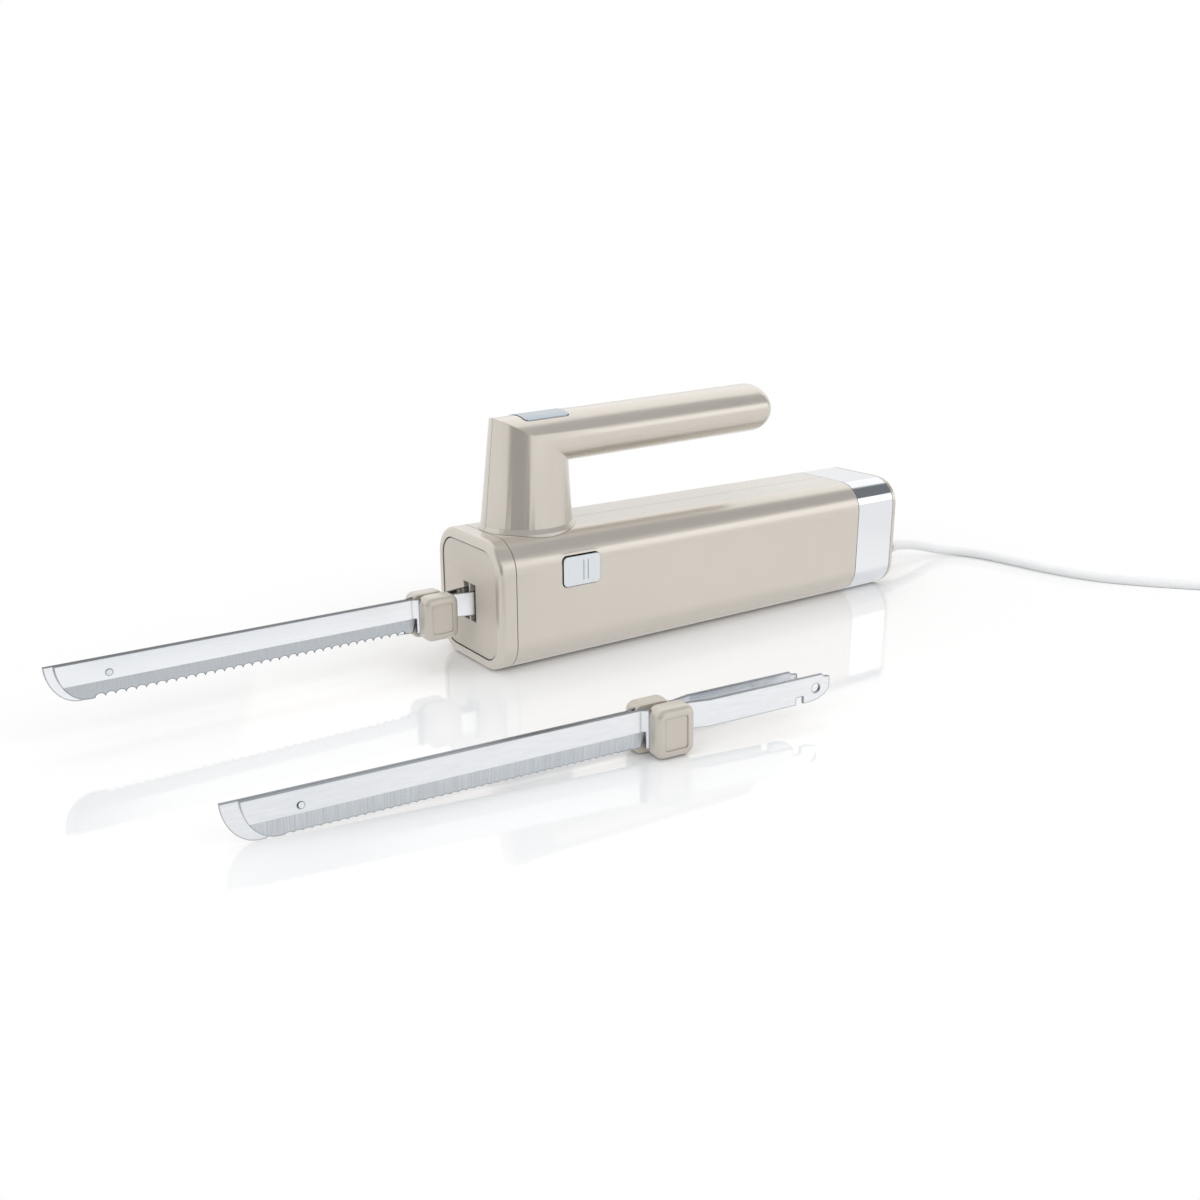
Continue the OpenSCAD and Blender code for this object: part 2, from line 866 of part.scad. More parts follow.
module release_spring_left() release_spring(-1);
module release_spring_right() release_spring(1);

// Where each tang ends, and so where its latch peg sits
function tang_end(side) = side < 0 ? tang_x : tang_x + hub_lag - tang_key;

module latch_spring(side) {
    peg_x = tang_end(side) - tang_hole_x;
    leaf_y = yoke_y + yoke_t + slice;
    color(steel) from_front() on_side(side) {
        along_y(leaf_y, latch_t) {
            translate([release_mid - latch_tab_w / 2, tang_hole_z - latch_h / 2])
                square([peg_x + latch_end - release_mid + latch_tab_w / 2, latch_h]);
            translate([release_mid - latch_tab_w / 2, tang_hole_z])
                square([latch_tab_w, release_z - tang_hole_z + stem_r]);
        }
        translate([peg_x, 0, tang_hole_z]) rod_y(tang_plane, leaf_y - tang_plane + latch_t / 2, peg_r);
    }
}

module latch_spring_left() latch_spring(-1);
module latch_spring_right() latch_spring(1);

// Gear frame, gear and worm

module gear_frame() {
    color(nylon) from_front() difference() {
        union() {
            for (s = sides)
                translate([frame_x, s > 0 ? frame_y : -frame_y - frame_t, wall])
                    cube([frame_end - frame_x, frame_t, frame_top - wall]);
            translate([frame_x, -frame_y - frame_t / 2, wall])
                cube([frame_end - frame_x, 2 * frame_y + frame_t, frame_floor]);
            translate([frame_x, -frame_y - frame_t / 2, wall])
                cube([guide_t, 2 * frame_y + frame_t, guide_top - wall]);
            translate([bulkhead_x, -frame_y - frame_t / 2, wall])
                cube([bulkhead_t, 2 * frame_y + frame_t, bulkhead_top - wall]);
        }
        for (s = sides) {
            translate([window_x, s > 0 ? frame_y - over : -frame_y - frame_t - over, window_z])
                cube([window_end - window_x, frame_t + 2 * over, window_top - window_z]);
            translate([frame_x - over, s > 0 ? socket_y - slide_gap : -frame_y,
                carrier_z - slide_gap])
                    cube([guide_t + 2 * over, frame_y - socket_y + slide_gap,
                        carrier_h + 2 * slide_gap]);
        }
        translate([release_mid, 0, release_z])
            rod_y(-body_w / 2, body_w, stem_r + slide_gap);
        translate([gear_x, 0, gear_z]) rod_y(-body_w / 2, body_w, axle_r);
        translate([0, 0, mid_z]) rod_x(bulkhead_x - over, bulkhead_t + 2 * over, front_bearing_r);
    }
}

module gear_axle() {
    color(steel) from_front() translate([gear_x, 0, gear_z]) {
        rod_y(-frame_y - frame_t - fit, 2 * (frame_y + frame_t + fit), axle_r);
        rod_y(frame_y + frame_t, axle_head_t, axle_head_r);
    }
}

module gear_tooth() {
    polygon([[pitch_r - tooth_ded - over, -tooth_root / 2], [pitch_r - tooth_ded, -tooth_root / 2],
        [pitch_r + tooth_add, -tooth_tip / 2], [pitch_r + tooth_add, tooth_tip / 2],
        [pitch_r - tooth_ded, tooth_root / 2], [pitch_r - tooth_ded - over, tooth_root / 2]]);
}

// The tooth gap at the top of the gear faces the worm
module drive_gear() {
    color(acetal) from_front() translate([gear_x, 0, gear_z]) difference() {
        union() {
            along_y(-gear_half, 2 * gear_half) {
                circle(pitch_r - tooth_ded);
                for (i = [0 : gear_teeth - 1])
                    rotate(90 + (i + 0.5) * 360 / gear_teeth) gear_tooth();
            }
            for (s = sides)
                translate([-s * crank_r * cos(crank_angle), 0, -s * crank_r * sin(crank_angle)])
                    rod_y(s > 0 ? gear_half - over : -gear_half - cam_t, cam_t + over, cam_r);
        }
        rod_y(-body_w / 2, body_w, gear_bore_r);
    }
}

// The thread crosses the gear's middle plane straight below the shaft
module worm() {
    steps = worm_loops * worm_sides;
    sections = [for (i = [0 : steps])
        let (a = 360 * i / worm_sides - 90 - 180 * worm_loops,
             x = worm_lead * (i / worm_sides - worm_loops / 2),
             radial = [0, cos(a), sin(a)])
        each [[x - worm_base / 2, 0, 0] + (worm_core_r - over / 2) * radial,
              [x - worm_tip / 2, 0, 0] + (worm_pitch_r + worm_add) * radial,
              [x + worm_tip / 2, 0, 0] + (worm_pitch_r + worm_add) * radial,
              [x + worm_base / 2, 0, 0] + (worm_core_r - over / 2) * radial]];
    skin = [for (i = [0 : steps - 1], k = [0 : 3])
        let (a = 4 * i + k, b = 4 * i + (k + 1) % 4)
        each [[a, b, b + 4], [a, b + 4, a + 4]]];
    caps = [[0, 2, 1], [0, 3, 2], [4 * steps, 4 * steps + 1, 4 * steps + 2],
        [4 * steps, 4 * steps + 2, 4 * steps + 3]];
    sleeve = worm_lead * worm_loops + 2 * worm_base;
    color(steel) from_front() translate([gear_x, 0, mid_z]) difference() {
        union() {
            polyhedron(sections, concat(skin, caps));
            rod_x(-sleeve / 2, sleeve, worm_core_r);
        }
        rod_x(-sleeve, 2 * sleeve, shaft_r);
    }
}

// Blade carriers

module carrier(side) {
    yoke_x = gear_x + side * rest_lead;
    yoke_half = yoke_slot + yoke_rim;
    yoke_half_h = yoke_slot_h + yoke_rim;
    peg_x = tang_end(side) - tang_hole_x;
    shift = side * rest_lead;
    color(acetal) from_front() on_side(side) difference() {
        union() {
            along_y(yoke_y, yoke_t) {
                translate([carrier_x + shift, carrier_z]) square([carrier_len, carrier_h]);
                translate([carrier_x + carrier_len / 2 + shift, carrier_z])
                    square([yoke_x - carrier_x - carrier_len / 2 - shift, link_h]);
                translate([yoke_x - yoke_half, gear_z - yoke_half_h])
                    square([2 * yoke_half, 2 * yoke_half_h]);
            }
            translate([carrier_x + shift, socket_y, carrier_z])
                cube([carrier_len, yoke_y + yoke_t / 2 - socket_y, carrier_h]);
        }
        along_y(yoke_y - over, yoke_t + 2 * over) translate([yoke_x, gear_z])
            square([2 * yoke_slot, 2 * yoke_slot_h], center = true);
        translate([carrier_x + shift - over, tang_plane - blade_t / 2 - slide_gap, tang_z - slide_gap])
            cube([tang_end(side) - carrier_x - shift + over + slide_gap, blade_t + 2 * slide_gap,
                tang_h + 2 * slide_gap]);
        translate([peg_x, 0, tang_hole_z]) rod_y(tang_plane, body_w, peg_r + slide_gap);
    }
}

module carrier_left() carrier(-1);
module carrier_right() carrier(1);

// Motor

module motor_shaft() {
    color(steel) from_front() translate([0, 0, mid_z])
        rod_x(shaft_x, rear_frame_x + rear_frame_t + fit - shaft_x, shaft_r);
}

module front_bearing() {
    color(brass) from_front() translate([0, 0, mid_z]) difference() {
        rod_x(bulkhead_x, bulkhead_t, front_bearing_r);
        rod_x(bulkhead_x - over, bulkhead_t + 2 * over, shaft_r + turn_gap);
    }
}

module rear_bearing() {
    color(brass) from_front() translate([rear_frame_x + rear_frame_t - rear_bearing_t, 0, mid_z])
        difference() {
            rod_x(0, rear_bearing_t, rear_bearing_r);
            rod_x(-over, rear_bearing_t + 2 * over, shaft_r + turn_gap);
        }
}

module rear_frame() {
    shelf_end = holder_y + holder_len;
    color(nylon) from_front() difference() {
        union() {
            along_x(rear_frame_x, rear_frame_t) translate([0, mid_z]) {
                square([stack_w, rear_frame_bar], center = true);
                square([rear_frame_bar, stack_w], center = true);
            }
            for (s = sides)
                translate([commutator_x + commutator_len / 2 - shelf_w / 2,
                    s > 0 ? holder_y : -shelf_end,
                    mid_z - brush_w / 2 - brush_gap - holder_wall - shelf_h])
                    cube([rear_frame_x - commutator_x - commutator_len / 2 + shelf_w / 2 + over,
                        holder_len, shelf_h]);
        }
        translate([0, 0, mid_z]) {
            rod_x(rear_frame_x - over, rear_frame_t + 2 * over, shaft_r + fit);
            rod_x(rear_frame_x + rear_frame_t - rear_bearing_t, rear_frame_t, rear_bearing_r);
        }
    }
}

module motor_stator() {
    color(steel) from_front() along_x(stack_x, stack_len) translate([0, mid_z]) difference() {
        round_rect(stack_w, stack_w, stack_r);
        circle(armature_r + stack_gap);
        for (sy = sides, sz = sides)
            translate([sy * (pole_y + coil_w / 2), sz * (coil_z + coil_t / 2)])
                square([coil_w + 2 * fit, coil_t + 2 * fit], center = true);
    }
}

module field_coils() {
    reach = stack_len / 2 + end_turn;
    inside = stack_len / 2 + end_turn - coil_w;
    color(copper) from_front() for (s = sides)
        translate([stack_x + stack_len / 2, 0, mid_z + s * (coil_z + coil_t / 2) - coil_t / 2])
            linear_extrude(coil_t) difference() {
                round_rect(2 * reach, 2 * (pole_y + coil_w), coil_w / 2);
                square([2 * inside, 2 * pole_y], center = true);
            }
}

module armature_core() {
    color(steel) from_front() along_x(stack_x, stack_len) translate([0, mid_z]) difference() {
        circle(armature_r);
        circle(shaft_r);
        for (i = [0 : slot_count - 1])
            rotate(i * 360 / slot_count) translate([armature_r, 0])
                square([2 * core_slot_depth, core_slot_w], center = true);
    }
}

module armature_winding() {
    ring_out = armature_r - core_slot_depth / 2;
    ring_in = shaft_r + over;
    color(copper) from_front() translate([0, 0, mid_z])
        for (x = [stack_x - end_turn_gap - end_turn, stack_x + stack_len + end_turn_gap])
            translate([x, 0, 0]) rotate([0, 90, 0]) rotate_extrude()
                polygon([[ring_in, 0], [ring_out - end_turn / 3, 0], [ring_out, end_turn / 3],
                    [ring_out, 2 * end_turn / 3], [ring_out - end_turn / 3, end_turn],
                    [ring_in, end_turn]]);
}

module commutator() {
    color(copper) from_front() along_x(commutator_x, commutator_len) translate([0, mid_z])
        difference() {
            circle(commutator_r);
            circle(shaft_r);
            for (i = [0 : slot_count - 1])
                rotate((i + 0.5) * 360 / slot_count) translate([commutator_r, 0])
                    square([2 * segment_depth, segment_gap], center = true);
        }
}

module cooling_fan() {
    color(nylon) from_front() difference() {
        union() {
            along_x(fan_x, fan_disc_t) translate([0, mid_z]) circle(fan_r);
            along_x(fan_x, fan_len) translate([0, mid_z]) {
                circle(fan_hub_r);
                for (i = [0 : fan_blades - 1])
                    rotate(i * 360 / fan_blades) translate([0, -fan_blade_t / 2])
                        square([fan_r - over, fan_blade_t]);
            }
        }
        translate([0, 0, mid_z]) rod_x(fan_x - over, fan_len + 2 * over, shaft_r);
    }
}

module at_brushes() {
    for (s = sides) on_side(s)
        translate([commutator_x + commutator_len / 2, holder_y, mid_z]) children();
}

module brush_holders() {
    outer = brush_w + 2 * (brush_gap + holder_wall);
    inside = brush_w + 2 * brush_gap;
    color(brass) from_front() at_brushes() along_y(0, holder_len) difference() {
        square(outer, center = true);
        square(inside, center = true);
    }
}

module carbon_brushes() {
    color(carbon) from_front() at_brushes()
        along_y(commutator_r + touch_gap - holder_y, brush_len) square(brush_w, center = true);
}

module brush_springs() {
    start = commutator_r + touch_gap - holder_y + brush_len + fit;
    color(steel) from_front() at_brushes() translate([0, start, 0]) rotate([-90, 0, 0])
        coil_spring(brush_w / 3, holder_len - start);
}

// Filter board, its pieces and the leads

module filter_board() {
    color(green) from_front() translate([board_x, -board_w / 2, board_z])
        cube([board_len, board_w, board_t]);
}

board_top = board_z + board_t;

module filter_capacitor() {
    color("darkorange") from_front()
        translate([board_x + over, -capacitor_size[1] - over, board_top]) cube(capacitor_size);
}

module filter_choke() {
    color(copper) from_front()
        translate([board_x + over + choke_r, choke_r + over, board_top]) difference() {
            cylinder(h = choke_h, r = choke_r);
            translate([0, 0, -over]) cylinder(h = choke_h + 2 * over, r = choke_hole_r);
        }
}

terminal_x = board_x + board_len - terminal_size[0] - over;

module terminal_block() {
    color(white) from_front()
        translate([terminal_x, -terminal_size[1] / 2, board_top]) cube(terminal_size);
}

// A twin lead from the switch down the post and back over the motor
module switch_leads() {
    top = switch_top - switch_h - fit;
    end_x = terminal_x + terminal_size[0] / 2;
    end_z = board_top + terminal_size[2];
    drop = lead_z - end_z;
    color(carbon) from_front() for (s = sides)
        tube([for (p = [[trigger_mid, top], [trigger_mid, top - shelf_t * 2],
                [post_mid, body_h + collar_top], [post_mid, body_h - wall],
                [post_mid + lead_notch[1] / 2, lead_z + lead_r], [post_rear, lead_z],
                [rear_frame_x + rear_frame_t, lead_z],
                [rear_frame_x + rear_frame_t + board_gap, lead_z - drop / 8],
                [end_x - lead_notch[1], lead_z - drop / 3],
                [end_x, lead_z - drop / 1.5], [end_x, end_z + fit]])
            [p[0], s * wire_hole_w / 6, p[1]]], lead_r, 8, [0, 1, 0]);
}

module mains_leads() {
    from_x = body_len - rear_wall - relief_flange_t;
    to_x = terminal_x + terminal_size[0] + fit;
    to_z = board_top + terminal_size[2] / 2;
    color("sienna") from_front() for (s = sides)
        tube([for (t = [0 : 0.125 : 1])
            [from_x + (to_x - from_x) * t,
             s * (cord_r / 2 + (lead_y - cord_r / 2) * t),
             cord_z + (to_z - cord_z) * (1 - cos(180 * t)) / 2]], lead_r, 8, [0, 0, 1]);
}

module housing_screws() {
    color(steel) from_front() for (place = screw_places)
        translate([place[0], 0, place[1]]) difference() {
            union() {
                rod_y(-screw_bite + over, screw_bite + screw_seat, screw_r);
                rod_y(screw_seat + slice, screw_head_t, screw_head_r);
            }
            for (turn = [0, 90])
                translate([0, screw_seat + screw_head_t - screw_drive_depth, 0]) rotate([0, turn, 0])
                    translate([-screw_head_r / 2, 0, -screw_drive_w / 2])
                        cube([screw_head_r, over * 2, screw_drive_w]);
        }
}

// Blades: an outline seen from the side, cut through a strip seen from above

function tip_curve(x0) = [for (i = [0 : tip_steps]) let (a = 90 * i / tip_steps)
    [x0 + tip_long * (1 - cos(a)), spine_z - blade_h * sin(a)]];

module blade_outline(x0, end_x, deep) {
    polygon(concat(
        [[x0, spine_z]],
        tip_curve(x0),
        [[neck_x, edge_z], [neck_x, tang_z], [end_x - tang_h, tang_z]],
        [for (i = [len(nose_shares) - 1 : -1 : 0])
            [end_x + nose_shares[i][0] * tang_h, tang_z + nose_shares[i][1] * tang_h]],
        [[neck_x, tang_z + tang_h], [neck_x, spine_z]]));
}

module strip(x0, end_x) {
    jog = hub_front - jog_x;
    run = [[x0 - over, blade_plane], [jog, blade_plane], [jog + jog_len, hub_plane],
        [hub_rear + over, hub_plane], [hub_rear + over + splay_len, tang_plane],
        [end_x + over, tang_plane]];
    back = [for (i = [len(run) - 1 : -1 : 0]) run[i] + [0, blade_t / 2]];
    linear_extrude(body_h) polygon(concat([for (p = run) p - [0, blade_t / 2]], back));
}

module blade(side, pitch, depth) {
    lag = side > 0 ? hub_lag : 0;
    x0 = side > 0 ? tip_x - blade_lead - hub_lag : tip_x;
    end_x = tang_end(side) - lag;
    reach = hub_front - tooth_end - tooth_start - x0;
    count = floor(reach / pitch);
    arc_r = (pow(pitch / 2, 2) + pow(depth, 2)) / (2 * depth);
    outer = blade_plane + blade_t / 2;
    inner = blade_plane - blade_t / 2 + edge_t;
    color(chrome) from_front() translate([lag, 0, 0]) on_side(side) difference() {
        intersection() {
            strip(x0, end_x);
            along_y(-over, body_w / 4) blade_outline(x0, end_x, depth);
        }
        for (i = [0 : count - 1])
            translate([hub_front - tooth_end - (i + 0.5) * pitch, 0, edge_z + depth - arc_r])
                rod_y(-over, body_w / 4, arc_r);
        along_x(x0 - over, hub_front - jog_x + jog_len - x0)
            polygon([[outer, edge_z + bevel_h], [inner, edge_z], [inner, edge_z - bevel_h],
                [outer + over, edge_z - bevel_h], [outer + over, edge_z + bevel_h]]);
        translate([end_x - tang_hole_x, 0, tang_hole_z]) rod_y(-over, body_w / 4, tang_hole_r);
        translate([end_x - notch_x - notch_w, -over, tang_z - over])
            cube([notch_w, body_w / 4, notch_h + over]);
        if (side < 0)
            translate([rivet_x, 0, rivet_z]) rod_y(-over, body_w / 4, rivet_r + turn_gap);
        else
            along_y(-over, body_w / 4) translate([rivet_x - lag - slot_back - slide_gap, rivet_z]) {
                translate([0, -rivet_r - slide_gap])
                    square([slot_back + slot_reach + 2 * slide_gap, 2 * (rivet_r + slide_gap)]);
                circle(rivet_r + slide_gap);
                translate([slot_back + slot_reach + 2 * slide_gap, 0]) circle(rivet_r + slide_gap);
            }
    }
}

module blade_left() blade(-1, tooth_pitch, tooth_depth);
module blade_right() blade(1, tooth_pitch, tooth_depth);

module tip_rivet() {
    near = -blade_plane - blade_t / 2 - rivet_proud;
    far = blade_plane + blade_t / 2 + slide_gap;
    color(steel) from_front() translate([rivet_x, 0, rivet_z]) {
        rod_y(near, far - near + rivet_head_t, rivet_r);
        rod_y(far, rivet_head_t, rivet_head_r);
    }
}

// Hubs moulded round the blades

// The outline of a hub across Y, with the same number of points in each corner
function hub_ring(y, inset) =
    let (r = hub_r - inset)
    [for (q = [0 : 3], k = [0 : hub_steps])
        let (a = 90 * (q + k / hub_steps), sx = q == 0 || q == 3 ? 1 : -1, sz = q < 2 ? 1 : -1)
        [(hub_front + hub_rear) / 2 + sx * (hub_len / 2 - hub_r) + r * cos(a), y,
         hub_z + hub_h / 2 + sz * (hub_h / 2 - hub_r) + r * sin(a)]];

module hub(side) {
    lag = side > 0 ? hub_lag : 0;
    panel_w = hub_len - 2 * hub_rim;
    panel_h = hub_h - 2 * hub_rim;
    color(taupe_dark) from_front() translate([lag, 0, 0]) on_side(side) difference() {
        loft(concat(
            [for (i = [0 : round_steps]) let (a = 90 * i / round_steps)
                hub_ring(hub_reach - hub_round * (1 - cos(a)), hub_round * (1 - sin(a)))],
            [hub_ring(hub_inner + hub_back, 0), hub_ring(hub_inner, hub_back / 2)]));
        along_y(hub_reach - hub_panel_depth, over)
            translate([(hub_front + hub_rear) / 2, hub_z + hub_h / 2])
                round_rect(panel_w, panel_h, hub_panel_r);
        translate([hub_front - over, hub_plane - blade_t / 2 - hub_fit, edge_z - hub_fit])
            cube([neck_x - hub_front + over + hub_fit, blade_t + 2 * hub_fit, blade_h + 2 * hub_fit]);
        translate([neck_x - over, hub_plane - blade_t / 2 - hub_fit, tang_z - hub_fit])
            cube([hub_len, blade_t + 2 * hub_fit, tang_h + 2 * hub_fit]);
    }
}

module hub_left() hub(-1);
module hub_right() hub(1);

// The second pair rests on its hubs and on the tip of its right blade, and is turned beside the body
spare_slide = -3;
spare_long = hub_front + hub_r + hub_lag - tip_x + blade_lead - tip_long;
spare_pitch = asin(hub_drop / spare_long);
spare_rise = seat_gap + max(0, -hub_r - hub_lag - spare_slide) * sin(spare_pitch);

module spare_place(slide) {
    translate([spare_x - body_len / 2, spare_y, spare_rise]) rotate([0, -spare_pitch, spare_turn])
        translate([slide - hub_front + body_len / 2, 0, -hub_z]) children();
}

module spare_blade_left() spare_place(0) blade(-1, fine_pitch, fine_depth);
module spare_blade_right() spare_place(spare_slide) blade(1, fine_pitch, fine_depth);
module spare_rivet() spare_place(0) tip_rivet();
module spare_hub_left() spare_place(0) hub(-1);
module spare_hub_right() spare_place(spare_slide) hub(1);

// Mains lead

module strain_relief() {
    start = -rear_wall;
    color(white) from_front() translate([body_len, 0, cord_z]) rotate([0, 90, 0]) difference() {
        rotate_extrude() polygon([[0, start - relief_flange_t], [relief_flange_r, start - relief_flange_t],
            [relief_flange_r, start], [relief_r, start], [relief_r, slide_gap],
            [relief_collar_r, slide_gap], [relief_collar_r, relief_collar_t],
            [relief_r, relief_collar_t], [relief_end_r, relief_len], [0, relief_len]]);
        for (i = [1 : relief_grooves])
            translate([0, 0, relief_collar_t + i * (relief_len - relief_collar_t) / (relief_grooves + 1)])
                rotate_extrude() {
                    groove_r = relief_r - relief_groove_depth
                        - (relief_r - relief_end_r) * i / (relief_grooves + 1);
                    translate([groove_r, 0]) square([relief_r, relief_groove_w]);
                }
    }
}

module cord_tube() {
    color(white) tube(cord_route, cord_r, cord_sides, [0, 0, 1]);
}

// The loops spiral in on the lower layer and out on the upper one
function coil_radius(turn) = coil_in + coil_pitch * abs(turn - coil_turns / 2);
function coil_height(turn) =
    coil_low + coil_pitch * min(1, max(0, 2 * (turn - coil_turns / 2) + 0.5));
function coil_point(turn) = let (a = coil_start + 360 * turn)
    [coil_middle[0] + coil_radius(turn) * cos(a), coil_middle[1] + coil_radius(turn) * sin(a),
     coil_height(turn)];
function heading(turn) = let (a = coil_start + 360 * turn + 90) [cos(a), sin(a), 0];

coil_count = round(coil_turns * coil_rings);
coil_loops = [for (i = [0 : coil_count]) coil_point(coil_turns * i / coil_count)];
tail_dir = heading(coil_turns);
tail_start = coil_loops[coil_count] + cord_d * tail_dir;
tail_end = tail_start + tail_len * tail_dir - [0, 0, tail_drop];
coil_path = concat(
    [coil_loops[0] - cord_d * heading(0)],
    coil_loops,
    [tail_start],
    [for (t = [0.25, 0.5, 0.75, 1]) tail_start + t * (tail_len - cord_d) * tail_dir
        - [0, 0, tail_drop * (1 - cos(180 * t)) / 2]],
    [tail_end]);

// Least distance between loops that are not neighbours along the route, less one diameter
coil_gap = min([for (i = [0 : len(coil_loops) - 1], k = [i + coil_rings / 2 : 1 : len(coil_loops) - 1])
    norm(coil_loops[i] - coil_loops[k])]) - cord_d;
echo(least_gap_between_loops = coil_gap);

module cord_coil() {
    color(white) tube(coil_path, cord_r, coil_sides, [0, 0, 1]);
}

module coil_tie() {
    low = coil_low - cord_r - tie_gap;
    high = coil_low + coil_pitch + cord_r + tie_gap;
    near = coil_in - cord_r - tie_gap;
    far = coil_r + cord_r + tie_gap;
    color(carbon) translate([coil_middle[0], coil_middle[1], 0]) rotate([0, 0, tie_angle])
        along_y(-tie_w / 2, tie_w) difference() {
            translate([near - tie_t, low - tie_t]) square([far - near + 2 * tie_t, high - low + 2 * tie_t]);
            translate([near, low]) square([far - near, high - low]);
        }
}

module at_plug() {
    translate(tail_end) rotate([0, 0, coil_start + 360 * coil_turns + 90]) children();
}

module plug_body() {
    neck = plug_neck_w / 2;
    color(white) at_plug() intersection() {
        translate([0, 0, -plug_h / 2]) linear_extrude(plug_h)
            polygon(concat([for (p = plug_shares) [p[0] * plug_len, p[1] * neck]],
                [for (i = [len(plug_shares) - 1 : -1 : 0])
                    [plug_shares[i][0] * plug_len, -plug_shares[i][1] * neck]]));
        along_x(0, plug_len) round_rect(plug_w, plug_h, plug_round);
    }
}

module plug_pins() {
    color(steel) at_plug() for (s = sides)
        translate([0, s * pin_spacing / 2, 0]) rod_x(plug_len, pin_len, pin_r);
}

housing_left();
housing_right();
front_cap();
front_plate();
rear_chrome_band();
rear_cap();
handle_left();
handle_right();
trigger_button();
trigger_spring();
power_switch();
release_button_left();
release_button_right();
release_spring_left();
release_spring_right();
latch_spring_left();
latch_spring_right();
gear_frame();
drive_gear();
gear_axle();
motor_shaft();
worm();
front_bearing();
rear_bearing();
rear_frame();
motor_stator();
field_coils();
armature_core();
armature_winding();
commutator();
cooling_fan();
brush_holders();
carbon_brushes();
brush_springs();
filter_board();
filter_capacitor();
filter_choke();
terminal_block();
switch_leads();
mains_leads();
housing_screws();
carrier_left();
carrier_right();
blade_left();
blade_right();
tip_rivet();
hub_left();
hub_right();
spare_blade_left();
spare_blade_right();
spare_rivet();
spare_hub_left();
spare_hub_right();
strain_relief();
cord_tube();
cord_coil();
coil_tie();
plug_body();
plug_pins();
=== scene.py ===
"""Looks of the electric carving knife: camera, lead, materials, light and floor.

Every length is in metres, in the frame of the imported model: +X from the blade tips to the
lead, +Z up, origin on the flat underside, and -Y the side that faces the camera.
"""

import json
import math

import bpy
from mathutils import Matrix, Vector


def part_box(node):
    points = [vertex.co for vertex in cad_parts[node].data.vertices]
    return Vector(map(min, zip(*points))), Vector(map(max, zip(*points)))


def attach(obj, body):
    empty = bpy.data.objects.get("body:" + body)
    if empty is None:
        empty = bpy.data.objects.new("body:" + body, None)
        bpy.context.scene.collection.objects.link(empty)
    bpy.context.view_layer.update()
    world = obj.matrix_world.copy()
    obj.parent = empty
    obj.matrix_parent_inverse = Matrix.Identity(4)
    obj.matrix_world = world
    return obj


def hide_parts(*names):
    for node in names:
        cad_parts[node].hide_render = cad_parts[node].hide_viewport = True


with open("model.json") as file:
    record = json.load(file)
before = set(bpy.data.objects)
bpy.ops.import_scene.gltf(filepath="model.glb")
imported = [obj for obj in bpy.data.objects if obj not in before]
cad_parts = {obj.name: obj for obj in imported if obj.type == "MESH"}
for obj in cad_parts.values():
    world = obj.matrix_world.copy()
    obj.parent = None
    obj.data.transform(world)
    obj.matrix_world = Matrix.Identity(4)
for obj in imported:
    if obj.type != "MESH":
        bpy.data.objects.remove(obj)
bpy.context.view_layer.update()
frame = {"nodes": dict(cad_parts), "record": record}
nodes = frame["nodes"]
scene = bpy.context.scene


# Camera

def make_camera(place, yaw, pitch, lens):
    data = bpy.data.cameras.new("camera")
    data.sensor_width = 36
    data.lens = lens
    data.clip_start = 0.01
    data.clip_end = 50
    cam = bpy.data.objects.new("camera", data)
    scene.collection.objects.link(cam)
    y, p = math.radians(yaw), math.radians(pitch)
    back = Vector((math.sin(y) * math.cos(p), -math.cos(y) * math.cos(p), math.sin(p)))
    cam.location = place
    cam.rotation_mode = "QUATERNION"
    cam.rotation_quaternion = (-back).to_track_quat("-Z", "Y")
    scene.camera = cam


make_camera((-0.4218, -0.5195, 0.2153), -35.0, 17.28, 36.46)


# Mains lead: the same points as the part's source has

CORD_R = 0.003
ROUTE_MM = [
    (175, 0, 13.5), (183, 0, 12.9), (193, 0.3, 11.4), (204, 0.3, 8.8), (214, -0.3, 6),
    (223, -2.6, 4), (230.5, -8, 3.2), (235, -16, 3), (238, -25.5, 3), (240, -37, 3),
    (241.5, -50, 3), (243, -64, 3), (245.4, -77, 3), (248.8, -90, 3), (253.2, -101, 3),
    (259, -111, 3), (265.5, -120.5, 3), (272.5, -129.5, 3), (280, -138, 3),
    (287.5, -147, 3), (295.5, -157, 3.1), (303.2, -167, 3.4), (311, -178, 3.8),
]
COIL_MIDDLE, COIL_START, COIL_TURNS = (357, -172), 212, 5.24
COIL_R, COIL_PITCH, COIL_LOW, COIL_RINGS = 41.7, 6.6, 4, 24
TAIL_LEN, TAIL_DROP, CORD_D_MM = 26, 3.6, 6


def coil_point(turn):
    inner = COIL_R - COIL_PITCH * COIL_TURNS / 2
    radius = inner + COIL_PITCH * abs(turn - COIL_TURNS / 2)
    angle = math.radians(COIL_START + 360 * turn)
    rise = min(1, max(0, 2 * (turn - COIL_TURNS / 2) + 0.5))
    return (COIL_MIDDLE[0] + radius * math.cos(angle), COIL_MIDDLE[1] + radius * math.sin(angle),
            COIL_LOW + COIL_PITCH * rise)


def lead_points():
    count = round(COIL_TURNS * COIL_RINGS)
    loops = [coil_point(COIL_TURNS * i / count) for i in range(count + 1)]
    angle = math.radians(COIL_START + 360 * COIL_TURNS + 90)
    ahead = (math.cos(angle), math.sin(angle))
    x, y, z = loops[-1]
    start = (x + CORD_D_MM * ahead[0], y + CORD_D_MM * ahead[1], z)
    tail = [start]
    for t in (0.25, 0.5, 0.75, 1):
        run = t * (TAIL_LEN - CORD_D_MM)
        tail.append((start[0] + run * ahead[0], start[1] + run * ahead[1],
                     z - TAIL_DROP * (1 - math.cos(math.pi * t)) / 2))
    tail.append((start[0] + TAIL_LEN * ahead[0], start[1] + TAIL_LEN * ahead[1], z - TAIL_DROP))
    return [tuple(0.001 * v for v in p) for p in ROUTE_MM + loops + tail]


